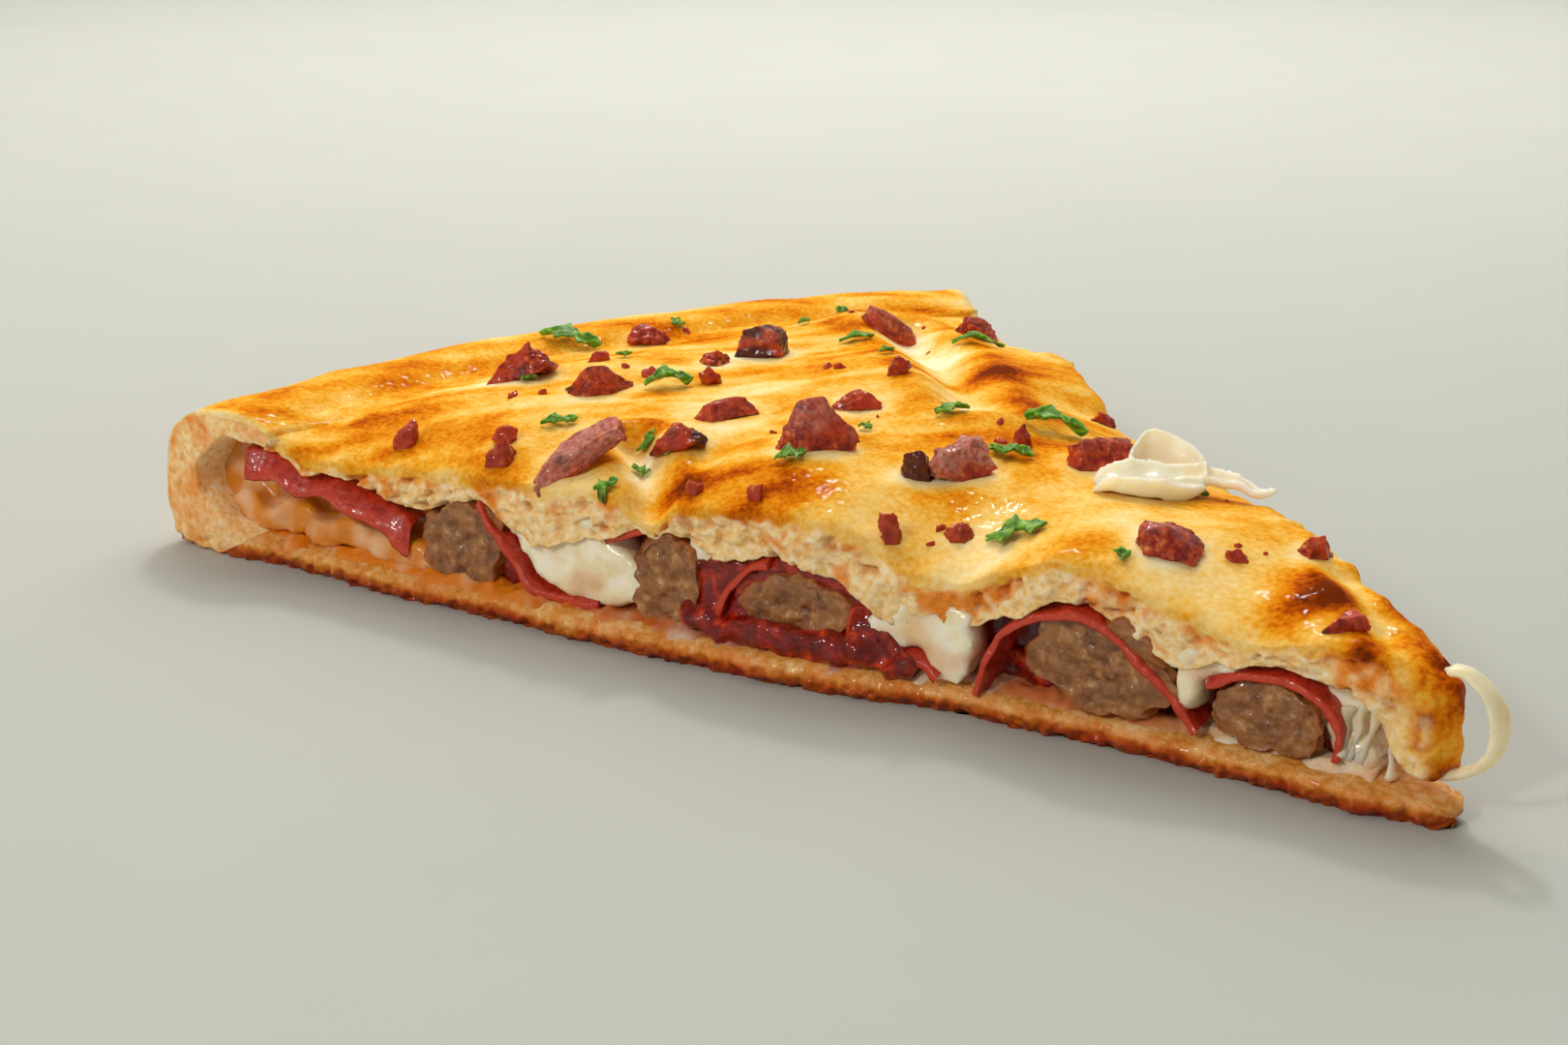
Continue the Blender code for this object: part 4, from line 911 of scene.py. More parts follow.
def sausage_finish(colours):
    """Coarse ground pork, cooked and sliced: grains of meat and fat of 1 to 2 mm, browned at the skin, with
    painted shade darkening its hollows.
    """
    tree, shader, place = new_finish("sausage_ground_and_cooked")
    grain = speckle(tree, place, 2.4 * MM, 6.0, 0.66)
    meat = ramp(tree, grain, (0.28, "#683A1A"), (0.44, colours.sausage), (0.58, "#A66E3A"), (0.74, "#DCAC78"))
    fat = spread(tree, speckle(tree, place, 1.7 * MM, 2.0), 0.62, 0.74)
    meat = blend(tree, times(tree, fat, 0.35), meat, "#E0BC90")
    meat = blend(tree, times(tree, share_of(tree, "edge"), 0.65), meat, "#A85820")
    # Painted shade: the meat is coloured darker where its surface sinks in
    meat = blend(tree, times(tree, share_of(tree, "deep"), 0.7), meat, "#7A3818", "MULTIPLY")
    set_shader(
        tree, shader, Base_Color=meat, Roughness=spread(tree, grain, 0.3, 0.7, 0.2, 0.45), IOR=1.42,
        Subsurface_Weight=0.12, Subsurface_Scale=1.5 * MM, Coat_Weight=0.45, Coat_Roughness=0.07,
    )
    ground = speckle(tree, place, 1.3 * MM, 4.0, 0.6)
    bumped(tree, shader, ground, 0.34 * MM, speckle(tree, place, 1.5 * MM, 1.0), 0.4 * MM)


def pepperoni_finish(colours):
    """Cured sausage in thin slices, oily from the oven: dark red faces and an orange-red cut edge."""
    tree, shader, place = new_finish("pepperoni_cured_and_sliced")
    grain = speckle(tree, place, 1.2 * MM, 4.0)
    meat = ramp(tree, grain, (0.3, "#921A0C"), (0.5, colours.pepperoni), (0.66, "#BE361C"), (0.82, "#E09070"))
    set_shader(
        tree, shader, Base_Color=blend(tree, times(tree, share_of(tree, "edge"), 0.6), meat, "#D2421C"),
        Roughness=spread(tree, grain, 0.3, 0.7, 0.2, 0.42), IOR=1.46, Subsurface_Weight=0.15,
        Subsurface_Scale=1.0 * MM, Coat_Weight=0.4, Coat_Roughness=0.08,
    )
    bumped(tree, shader, grain, 0.25 * MM, speckle(tree, place, 2.0 * MM, 1.0), 0.3 * MM)


def bacon_finish(colours):
    """Bacon fried crisp: deep red-brown meat, a frosty skin of salt and fat that is also a painted sheen on
    the tops, lean that light passes through, painted a brighter orange-red as glow as well as by its own
    colour, and charred corners."""
    tree, shader, place = new_finish("bacon_fried_crisp")
    fibre = speckle(tree, place, 1.4 * MM, 5.0, 0.6)
    meat = ramp(tree, fibre, (0.28, "#4A0A02"), (0.44, colours.bacon), (0.60, "#C24A1A"), (0.76, "#F0A468"))
    # Lean: the meat's own red-orange, painted brighter as glow of light passing through it
    meat = blend(tree, times(tree, share_of(tree, "lean"), 0.6), meat, "#CE4010")
    # Frosty skin of salt and fat, and painted sheen: the upper parts of each piece are coloured paler, as
    # painted highlight
    salt = spread(tree, speckle(tree, place, 0.8 * MM, 3.0), 0.4, 0.62)
    frosted = times(tree, share_of(tree, "frost"), calc(tree, "ADD", times(tree, salt, 0.6), 0.3))
    meat = blend(tree, frosted, meat, "#D89C88")
    set_shader(
        tree, shader, Base_Color=blend(tree, times(tree, share_of(tree, "char"), 0.85), meat, "#30100A"),
        Roughness=spread(tree, fibre, 0.3, 0.7, 0.12, 0.34), IOR=1.46, Specular_IOR_Level=0.2,
        Subsurface_Weight=0.35, Subsurface_Scale=1.2 * MM, Subsurface_Radius=(1.0, 0.25, 0.1),
        Coat_Weight=0.6, Coat_Roughness=0.05,
    )
    bumped(tree, shader, fibre, 0.4 * MM, speckle(tree, place, 1.3 * MM, 1.0), 0.4 * MM)


def parsley_finish(colours):
    """Fresh flat parsley, chopped: thin leaf that light passes through, paler on its veins."""
    tree, shader, place = new_finish("parsley_chopped")
    blush = speckle(tree, place, 1.5 * MM, 3.0)
    green = ramp(tree, blush, (0.3, "#3A6014"), (0.5, colours.parsley), (0.75, "#9CBE4C"))
    set_shader(
        tree, shader, Base_Color=blend(tree, times(tree, share_of(tree, "vein"), 0.5), green, "#A9CC6C"),
        Roughness=0.42, IOR=1.42, Subsurface_Weight=0.35, Subsurface_Scale=1.0 * MM,
        Subsurface_Radius=(0.5, 1.0, 0.2),
    )
    bumped(tree, shader, blush, 0.2 * MM, blush, 0.1 * MM)


def stage_finish(colours):
    """Pale matt floor with a faint mottle."""
    tree, shader, place = new_finish("floor_pale_matt")
    deeper = (*(0.93 * c for c in colours.floor[:3]), 1.0)
    mottled = blend(tree, speckle(tree, place, 60 * MM, 4.0), deeper, colours.floor)
    set_shader(tree, shader, Base_Color=mottled, Roughness=0.85, IOR=1.4)


# Settings


def colour_setting(name, description, hex_colour):
    return bpy.props.FloatVectorProperty(
        name=name, description=description, subtype="COLOR", size=4, min=0, max=1, default=linear(hex_colour)
    )


def length_setting(name, description, millimetres):
    return bpy.props.FloatProperty(
        name=name, description=description, default=millimetres * MM, min=0, soft_max=5 * MM, unit="LENGTH"
    )


class CrustSettings(bpy.types.PropertyGroup):
    crumb_relief: length_setting("Crumb relief", "How deep the torn crumb at the cuts is", 1.3)
    edge_wander: length_setting("Edge wander", "How far the cut edges wander in and out", 0.7)


class FinishColours(bpy.types.PropertyGroup):
    pale_dough: colour_setting("Pale dough", "The lid where it is least browned", "#FBE8B8")
    golden: colour_setting("Golden crust", "The egg-washed lid where it is baked golden", "#EAA226")
    crumb: colour_setting("Crumb", "The torn crumb of the lid at the cuts", "#FFDCA2")
    floor_brown: colour_setting("Floor crust", "The browned foot of the bottom crust", "#AC5010")
    sauce: colour_setting("Tomato sauce", "The cooked sauce", "#801004")
    cheese: colour_setting("Mozzarella", "The melted cheese", "#FCEECA")
    sausage: colour_setting("Sausage", "The meat of the sausage chunks", "#8A562C")
    pepperoni: colour_setting("Pepperoni", "The faces of the pepperoni slices", "#B42A16")
    bacon: colour_setting("Bacon", "The meat of the fried bacon", "#921E06")
    parsley: colour_setting("Parsley", "The parsley leaves", "#5A8A26")
    floor: colour_setting("Stage floor", "The plain floor that the slice lies on", "#BCBDB4")


# Pieces


def packed_near_cuts(v):
    return v - 0.085 * np.sin(2 * np.pi * v)


def ring_shares(top, side, under):
    """The v and w of points round a layer: over its top, down the far cut, back under it, up the near cut."""
    up = np.linspace(0, 1, side + 1)[1:-1]
    v = [packed_near_cuts(np.linspace(0, 1, top + 1)), np.ones(side - 1)]
    v += [packed_near_cuts(np.linspace(1, 0, under + 1)), np.zeros(side - 1)]
    w = [np.ones(top + 1), up[::-1], np.zeros(under + 1), up]
    return np.concatenate(v)[None], np.concatenate(w)[None]


def torn(points):
    """How far torn crumb stands out, from about -1 to 0.6: swells, flakes and pores, and how porous it is,
    which the crust finish paints darker as shade in the pores.
    """
    pull = jitter(points, 4 * MM, (16, 17, 18))
    warped = (points + 1.1 * MM * pull) * np.array([0.85, 0.85, 1.1])
    swells = 0.72 * bumps(warped, 5.5 * MM, 11) + 0.26 * bumps(warped, 2.4 * MM, 12)
    airy = rise(bumps(points, 8 * MM, 19), -0.3, 0.3)
    pores = rise(bumps(warped, 2.3 * MM, 13), 0.16, 0.46) * airy
    pits = rise(bumps(warped, 1.1 * MM, 14), 0.2, 0.55)
    return swells + 0.12 * bumps(points, 0.8 * MM, 15) - 1.1 * pores - 0.26 * pits, pores * 0.8 + pits * 0.3


def browning(x, y):
    """How browned the top crust is at (x, y), from 0 for pale dough to 1 for burnt."""
    flat = np.stack([x, y, 0 * x], -1)
    turn = math.radians(54)
    along, beside = x * math.cos(turn) + y * math.sin(turn), y * math.cos(turn) - x * math.sin(turn)
    pulled = np.stack([along, beside, 0 * x], -1)
    streaks = bumps(pulled * np.array([0.24, 1, 1]), 4.2 * MM, 24) * rise(-x, -60 * MM, 20 * MM)
    shade = 0.53 + 0.20 * streaks
    for size, seed, amount in ((26, 21, 0.12), (10, 22, 0.19), (4, 23, 0.09)):
        shade += amount * bumps(flat, size * MM, seed)
    x = x - TOPPING_X
    for px, py, radius, amount in PATCHES:
        away = np.hypot(x - px * MM, y - py * MM) / (radius * MM)
        away = away * (1 + 0.22 * bumps(flat, 5 * MM, 25))
        shade += amount * np.exp(-(away**2.4))
    for line, _, half_width in CREASES:
        away = line_distance(x, y, line) / (half_width * MM)
        shade -= 0.30 * np.exp(-((away / 0.8) ** 2)) - 0.20 * np.exp(-((away - 2.1) ** 2) * 2)
    for row in BACON:
        away = np.hypot(x - row[1] * MM, y - row[2] * MM) - 0.42 * row[3] * MM
        shade -= 0.26 * np.exp(-((np.maximum(away, 0) / (2.2 * MM)) ** 2))
    return shade


def shrunk_ends(rings, ends):
    """Adds rounded ends: (at the start or not, forward vector, number of rings, how far they bulge)."""
    first, last = rings[:1], rings[-1:]
    parts = [rings]
    for at_start, forward, count, bulge in ends:
        ring = first if at_start else last
        middle = ring.mean(1, keepdims=True)
        turn = np.linspace(0, np.pi / 2, count + 1)[1:, None, None]
        extra = middle + (ring - middle) * np.maximum(np.cos(turn), 0.03)
        extra = extra + np.array(forward) * bulge * np.sin(turn)
        parts = [extra[::-1], *parts] if at_start else [*parts, extra]
    return np.concatenate(parts)


def with_ends(values, at_tip):
    """Values of rings of points, between those of the rings that close the tip and the rim."""
    return np.concatenate([at_tip, values, np.repeat(values[-1:], END_RINGS, 0)])


def for_each_point(shares, shape, extra):
    """Shares of rings of points as one value for each mesh point, carried on over ends that they lack."""
    whole = {}
    for name, values in shares.items():
        if len(values) <= shape[0]:
            values = np.broadcast_to(values, shape)
            values = with_ends(values, np.repeat(values[:1], extra, 0))
        whole[name] = np.concatenate([values.ravel(), values[0, :1], values[-1, :1]])
    return whole


class PIZZA_OT_top_crust(bpy.types.Operator):
    """Make the glazed lid with its torn cut faces"""

    bl_idname = "pizza_slice.top_crust"
    bl_label = "Top crust"

    def execute(self, context):
        settings = context.scene.crust_settings
        s = np.linspace(LID_START_S, SEAM_S + 1.6 * MM, LID_ROWS + 1)[:, None]
        v, w = ring_shares(LID_TOP_CELLS, LID_SIDE_CELLS, LID_UNDER_CELLS)
        x, y = plan(s, v, LID_BOW_NEAR, LID_BOW_FAR)
        from_edge = np.minimum(*to_edges(s, v))
        edge = np.exp(-from_edge / (0.9 * MM))
        wide_edge = np.exp(-((from_edge / (3.2 * MM)) ** 2))
        by_tip = np.exp(-((s / (7 * MM)) ** 2))
        flat = np.stack([x, y, 0 * x], -1)
        top = lid_top(s, v) + 0.16 * MM * bumps(flat, 6 * MM, 31) + 0.06 * MM * bumps(flat, 2.6 * MM, 32)
        top += wide_edge * 0.5 * MM * bumps(flat, 4 * MM, 33) - edge * 0.8 * MM
        top -= by_tip * (1.6 * MM * np.abs(2 * v - 1) ** 3 + 0.2 * MM)
        under = np.minimum(lid_under(s, v), top - LID_LEAST)
        under += wide_edge * (0.8 * MM * bumps(flat, 4.4 * MM, 34) + 0.5 * MM * bumps(flat, 1.9 * MM, 35))
        z = mix(under, top, w)
        points = np.stack(np.broadcast_arrays(x, y, z), -1)
        relief, pores = torn(points)
        on_side = (v <= 0) | (v >= 1)
        depth = (top - z) / MM
        bare = rise(depth, 0.6, 1.8)
        out = settings.edge_wander * bumps(points, 8 * MM, 36) + bare * settings.crumb_relief * relief
        out += 0.4 * MM * (1 - bare) * bumps(points, 3 * MM, 42)
        out *= 1 - 0.6 * np.exp(-((s / (4 * MM)) ** 2))
        out = np.where(on_side, out, out * edge * (1 - np.exp(-((s / (14 * MM)) ** 2))))
        push_out(points, out, v)
        skin = np.where(on_side, 1 - rise(depth + 1.1 * bumps(points, 2.2 * MM, 37), 0.8, 1.9), 1.0)
        skin = np.where(w > 0, skin, 0.0)
        skin = np.maximum(skin, np.exp(-((s / (5 * MM)) ** 3)) * rise(bumps(points, 3 * MM, 38), -0.5, 0.1))
        brown = browning(points[..., 0], points[..., 1]) + 0.16 * by_tip
        brown = brown + 0.34 * by_tip * rise(bumps(points, 4 * MM, 43), 0.0, 0.4)
        lip = np.exp(-from_edge / (1.8 * MM))
        brown = brown - 0.16 * lip * rise(bumps(flat, 11 * MM, 39), -0.2, 0.4)
        fat = bumps(points, 7 * MM, 40) + 0.5 * bumps(points, 2.0 * MM, 41) - 0.12 * (depth - 3)
        soaked = 0.9 * rise(fat, -0.05, 0.6)
        extra = LID_TIP_RINGS
        ends = ((True, (1, 0, -0.15), extra, 2.0 * MM), (False, (-1, 0, 0), END_RINGS, 0.3 * MM))
        rings = shrunk_ends(points, ends)
        # The end wall at the tip, baked dark where it is highest and farthest round
        wall = rings[:extra]
        wall_brown = 0.62 + 0.22 * bumps(wall, 4 * MM, 43)
        wall_brown += 0.34 * rise(wall[..., 2], 13 * MM, 17 * MM) * rise(wall[..., 1], -2.5 * MM, 1 * MM)
        on_wall = rise(np.linspace(1, 0, extra)[:, None], 0, 0.4)
        brown = with_ends(brown, mix(brown[:1], wall_brown, on_wall))
        skin = with_ends(skin, mix(skin[:1], 1.0, on_wall))
        rings[:extra, :, 0] += 0.5 * MM * bumps(wall, 2.6 * MM, 44) * on_wall
        # Painted shade: where the torn crumb is porous it is marked to be coloured darker
        pore_shade = np.where(on_side, pores * bare, 0.0)
        shares = {"brown": brown, "skin": skin, "soaked": soaked, "pore_shade": pore_shade}
        solid_from(
            "top_crust_baked", *rings_solid(rings), "dough_egg_washed_and_baked", "glazed_crust",
            ["top_crust"], **for_each_point(shares, points.shape[:2], extra),
        )
        return {"FINISHED"}


def rim_curve(points, t):
    """A smooth (s, z) line through a rim section's points."""
    rows = [(s, z, 0) for s, z in points]
    return along_rib(rows, t)[..., :2] * MM


class PIZZA_OT_bottom_crust(bpy.types.Operator):
    """Make the thin floor with the rim that folds in over the lid"""

    bl_idname = "pizza_slice.bottom_crust"
    bl_label = "Bottom crust and rim"

    def execute(self, context):
        settings = context.scene.crust_settings
        floor_s = np.linspace(0, RIM_INSIDE[0][0] * MM, FLOOR_ROWS, endpoint=False)
        t = np.linspace(0, 1, RIM_ROWS + 1)
        outer, inner = rim_curve(RIM_OUTSIDE, t), rim_curve(RIM_INSIDE, t)
        v, w = ring_shares(FLOOR_CELLS_OVER, FLOOR_SIDE_CELLS, FLOOR_CELLS_UNDER)
        # The folded lip runs on inwards as a thin apron that sinks into the lid, except close to the cuts
        apron = np.linspace(0, 1, APRON_ROWS + 1)[1:]
        on_rim = np.concatenate([0 * floor_s, t, 1 + apron])[:, None]
        under_s = floor_s * RIM_OUTSIDE[0][0] / RIM_INSIDE[0][0]
        outer_s = np.concatenate([under_s, outer[:, 0], 0 * apron + outer[-1, 0]])
        inner_s = np.concatenate([floor_s, inner[:, 0], 0 * apron + inner[-1, 0]])[:, None]
        across_cut = np.minimum(*to_edges(SEAM_S, v))
        run_in = APRON_REACH * (1 - 0.85 * np.exp(-((across_cut / (14 * MM)) ** 2)))
        outer_s = outer_s[:, None] - run_in * np.maximum(on_rim - 1, 0)
        inner_s = inner_s - run_in * np.maximum(on_rim - 1, 0)
        outer_z = np.concatenate([0 * floor_s, outer[:, 1], 0 * apron])[:, None]
        inner_z = np.concatenate([0 * floor_s, inner[:, 1], 0 * apron])[:, None]
        in_from_edge = np.minimum(*to_edges(inner_s, v))
        sunk = 1.1 * MM * np.exp(-in_from_edge / (1.6 * MM))
        inner_z = np.where(on_rim > 0, inner_z, floor_top(inner_s, v) - sunk)
        wall = np.stack(np.broadcast_arrays(inner_s, inner_z, v * SLICE_RADIUS), -1)
        uneven = rise(on_rim, 0.04, 0.2) * (1 - rise(on_rim, 0.8, 1.0))
        inner_s = inner_s + uneven * 1.5 * MM * bumps(wall, 6 * MM, 67)
        inner_z = inner_z + uneven * 1.2 * MM * bumps(wall, 5 * MM, 68)
        over_lid = lid_top(np.minimum(outer_s, SEAM_S), v)
        step = 0.4 * MM * np.exp(-((in_from_edge / (13 * MM)) ** 2)) + 0.2 * MM
        thin = step - 0.9 * MM * rise(on_rim - 1, 0.4, 1)
        apron_top = over_lid + mix(0.9 * MM, thin, rise(on_rim - 1, 0, 0.5))
        outer_z = np.where(on_rim > 1, apron_top, outer_z)
        inner_z = np.where(on_rim > 1, apron_top - mix(2.2 * MM, 0.8 * MM, rise(on_rim - 1, 0, 1)), inner_z)
        s = mix(outer_s, inner_s, w)
        z = mix(outer_z, inner_z, w)
        wobble = 1 + 0.010 * ripple(s * np.sin(v), v + 0 * s, 0.21, 5.5) * (s / SLICE_RADIUS) ** 6
        x, y = plan(s * wobble, v, FLOOR_BOW_NEAR, FLOOR_BOW_FAR)
        swell = 0.7 * MM * ripple(v * SLICE_RADIUS + 0 * s, 0 * s, 26 * MM, 2.2)
        z = z + (z > 20 * MM) * (on_rim <= 1) * swell
        points = np.stack(np.broadcast_arrays(x, y, z), -1)
        on_side = (v <= 0) | (v >= 1)
        edge = np.exp(-np.minimum(*to_edges(s, v)) / (0.8 * MM))
        foot = 1 - rise(z, 1.2 * MM, 3.0 * MM)
        grains = 0.8 * bumps(points, 1.9 * MM, 51) + 0.6 * bumps(points, 1.05 * MM, 52)
        out = settings.edge_wander * bumps(points, 9 * MM, 53) + 0.3 * MM * bumps(points, 3 * MM, 63)
        out = out + MM * grains * mix(0.22, 1.0, foot)
        on_floor = on_rim < 0.01
        out = out - 1.1 * MM * (1 - rise(z, 0, 1.5 * MM)) * on_floor
        out = out - 0.5 * MM * rise(z, 2.6 * MM, 4 * MM) * on_floor
        out = np.where(on_side, out, out * edge)
        push_out(points, out, v)
        lip = np.where(on_side, 0.0, 1.0) * edge * (w > 0.5) * (on_rim <= 0)
        points[..., 2] += lip * 0.5 * MM * bumps(points, 5 * MM, 54)
        outside = (w == 0) * rise(on_rim + 0 * v, 0.02, 0.3)
        relief = (0.30 * bumps(points, 9 * MM, 55) + 0.12 * bumps(points, 3 * MM, 56)) * MM * outside
        radial = np.stack([points[..., 0] - TIP_X, points[..., 1], 0 * points[..., 2]], -1)
        radial /= np.maximum(np.linalg.norm(radial, axis=-1, keepdims=True), 1e-6)
        points += radial * relief[..., None] * (on_rim <= 1)[..., None]
        points[..., 2] += outside * rise(z, 20 * MM, 23 * MM) * 0.35 * MM * bumps(points, 7 * MM, 57)
        brown = browning(points[..., 0], points[..., 1])
        brown = mix(0.42 + 0 * brown, brown, rise(z, 13 * MM, 21 * MM))
        brown += 0.26 * outside * (1 - rise(z, 2 * MM, 10 * MM))
        floor_side = mix(0.18, 0.62, foot)
        floor_side = floor_side + 0.16 * bumps(points, 5 * MM, 59) + 0.10 * bumps(points, 1.6 * MM, 64)
        brown = np.where(on_side | (w > 0), floor_side, brown)
        brown = np.where((on_rim <= 0.02) & (w == 0), 0.7 + 0.12 * bumps(points, 5 * MM, 60), brown)
        skin = outside * np.ones_like(points[..., 0])
        golden_lip = on_side * rise(z, 22.6 * MM, 24 * MM) * (w < 0.15)
        skin = np.maximum(skin, golden_lip)
        soaked = np.clip(0.5 + 0.7 * bumps(points, 6 * MM, 65) + 0.4 * bumps(points, 2 * MM, 66), 0, 1)
        soaked = soaked * mix(mix(0.5, 1, foot), 0.8, rise(on_rim, 0.1, 0.4))
        extra = FLOOR_TIP_RINGS
        ends = ((True, (1, 0, 0), extra, 1.6 * MM), (False, (1, 0, -0.2), END_RINGS, 0.2 * MM))
        rings = shrunk_ends(points, ends)
        rings[..., 2] = np.maximum(rings[..., 2], 0.0)
        verts, quads = rings_solid(rings)
        shares = {"brown": brown, "skin": skin, "soaked": soaked * on_side, "pore_shade": 0 * brown}
        obj = solid_from(
            "bottom_crust_baked", verts, quads, "dough_pan_baked", "baked_dough", ["bottom_crust"],
            **for_each_point(shares, points.shape[:2], extra),
        )
        obj.data.materials.append(bpy.data.materials["dough_egg_washed_and_baked"])
        rows = np.arange(len(quads)) // rings.shape[1]
        on_rim_rows = (rows >= extra + FLOOR_ROWS + RIM_ROWS // 12) & (rows < rings.shape[0] - 1)
        obj.data.polygons.foreach_set("material_index", on_rim_rows.astype(np.int32))
        obj.data.update()
        return {"FINISHED"}


class PIZZA_OT_tomato_sauce(bpy.types.Operator):
    """Make the layer of sauce and its mounds at the cuts"""

    bl_idname = "pizza_slice.tomato_sauce"
    bl_label = "Tomato sauce"

    def execute(self, context):
        def lower(s, v):
            return floor_top(s, v) - 0.4 * MM

        def upper(s, v):
            return floor_top(s, v) + 2.2 * MM

        parts = [layer((90, 40, 3), lower, upper, 9 * MM)]
        for row in SAUCE_MASSES:
            points, quads, *_ = lump(*row[:-1], 40, 60, 0.26, row[-1], 1.2)
            parts.append((sunk_above(points, FLOOR_THICKNESS - 0.6 * MM), quads))
        rng = np.random.default_rng(5)
        for _ in range(34):
            size = rng.uniform(0.9, 2.2)
            s, z = rng.uniform(77, 113), rng.uniform(4.6, 7.4)
            row = (NEAR, s, z, size * 1.3, size, size * 2.6, rng.uniform(-40, 40))
            points, quads, *_ = lump(*row, 14, 20, 0.3, rng.uniform(-3.2, -1.2), 0.5)
            parts.append((points, quads))
        obj = remeshed("tomato_sauce_cooked", parts, SAUCE_VOXEL, 1)
        points, normals = points_of(obj.data), normals_of(obj.data)
        wet = 0.50 * bumps(points, 2.6 * MM, 61) + 0.24 * bumps(points, 1.5 * MM, 62)
        move_points(obj.data, points + normals * (wet * MM)[:, None])
        finished(obj, "tomato_sauce_cooked", "tomato_sauce", ["tomato_sauce"])
        return {"FINISHED"}


def layer(cells, lower, upper, inset_by):
    """A filling layer inside the cuts, between two heights."""

    def place(u, v, w):
        s = mix(FILLING_START_S, FILLING_END_S, u)
        inset = np.minimum(0.3, inset_by / (s * WEDGE_ANGLE + TIP_HALF_WIDTH))
        v = mix(inset, 1 - inset, v)
        x, y = plan(s, v, LID_BOW_NEAR, LID_BOW_FAR)
        return np.stack([x, y, mix(lower(s, v), upper(s, v), w)], -1)

    return block(cells, place)[:2]


class PIZZA_OT_mozzarella(bpy.types.Operator):
    """Make the melted cheese that fills the slice and runs down at the cuts"""

    bl_idname = "pizza_slice.mozzarella"
    bl_label = "Mozzarella"

    def execute(self, context):
        def lower(s, v):
            return floor_top(s, v) + 1.5 * MM

        def upper(s, v):
            return np.maximum(lid_under(np.minimum(s, SEAM_S), v) + 0.6 * MM, lower(s, v) + 3 * MM)

        parts = [layer((110, 50, 6), lower, upper, 6.5 * MM)]
        for row in CHEESE_MASSES:
            points, quads, *_ = lump(*row[:-1], 40, 60, 0.30, row[-1], 0.4)
            parts.append((sunk_above(points, FLOOR_THICKNESS - 0.4 * MM), quads))
        obj = remeshed("mozzarella_melted", parts, CHEESE_VOXEL, 3)
        points, normals = points_of(obj.data), normals_of(obj.data)
        soft = 0.34 * bumps(points, 6 * MM, 71) + 0.20 * bumps(points, 2.4 * MM, 72)
        points = points + normals * (soft * MM)[:, None]
        move_points(obj.data, points)
        s, n = place_of(points)
        by_rim = rise(s, 156 * MM, 166 * MM)
        oil = by_rim * (0.9 + 0.4 * bumps(points, 4 * MM, 73))
        oil += (1 - by_rim) * 0.40 * rise(bumps(points, 6 * MM, 74), 0, 0.5)
        # Cheese set back behind the cut is coloured sauce red: partly sauce, partly painted shade in the
        # recess. The rim's cavity fill is painted a little darker red the deeper it sits, as painted shade.
        deep = rise(n, 3.0 * MM, 5.0 * MM)
        sauced = np.maximum((1 - by_rim) * deep, 0.12 * by_rim * rise(n, 4.5 * MM, 7 * MM))
        sauced = np.maximum(sauced, band(s, 76, 80, 110, 114) * rise(n, 1 * MM, 3 * MM))
        shares = {"oil": np.clip(oil, 0, 1), "sauced": np.clip(sauced, 0, 1)}
        finished(obj, "mozzarella_melted", "mozzarella", ["mozzarella"], **shares)
        return {"FINISHED"}


class PIZZA_OT_run_off(bpy.types.Operator):
    """Make the film of cheese, sauce and oil that ran out over the floor at the cuts"""

    bl_idname = "pizza_slice.run_off"
    bl_label = "Run-off"

    def execute(self, context):
        for name, side, bow in (("near", NEAR, FLOOR_BOW_NEAR), ("far", FAR, FLOOR_BOW_FAR)):

            def place(u, v, w):
                s = mix(9 * MM, 207 * MM, u)
                line = at_cut(side, s, 0 * s, 0 * s)
                reach = (1.1 + 0.9 * bumps(line, 5 * MM, 101) + 0.6 * bumps(line, 1.8 * MM, 102)) * MM
                outer = np.maximum(reach, -0.3 * MM) - bow(s)
                n = mix(8 * MM, outer, v)
                here = at_cut(side, s, n, 0 * s)
                from_rim = np.maximum(s - 199 * MM, 0)
                base = FLOOR_THICKNESS - 0.5 * MM + 0.25 * from_rim
                swell = 1.35 + 0.8 * bumps(here, 4.5 * MM, 103) + 0.5 * bumps(here, 1.7 * MM, 104)
                thick = np.maximum(swell, 0.75) * MM * np.sqrt(np.maximum(1 - v**5, 0.02))
                slump = 0.95 * MM * rise(v, 0.6, 1.0)
                return at_cut(side, s, n, base + thick * w - slump)

            points, quads, shares = block((380, 24, 2) if side == NEAR else (240, 16, 2), place)
            s, _ = place_of(points)
            at = s + 5 * MM * bumps(points, 6 * MM, 105)
            sauced = np.maximum(band(at, 74, 79, 108, 118), 0.5 * band(at, 112, 116, 134, 146))
            sauced = np.maximum(sauced, 0.5 * band(at, 34, 40, 60, 68))
            sauced = sauced * (1 - 0.6 * rise(shares[:, 1], 0.8, 1.0))
            oil = 0.35 + 0.65 * rise(at, 112 * MM, 124 * MM) + 0.45 * bumps(points, 4 * MM, 106)
            oil = np.maximum(oil, 0.85 * band(at, 30, 38, 60, 72))
            solid_from(
                f"run_off_{name}_melted", points, quads, "cheese_sauce_and_oil_run_together", "mozzarella",
                oil=np.clip(oil, 0, 1), sauced=np.clip(sauced, 0, 1),
            )
        return {"FINISHED"}


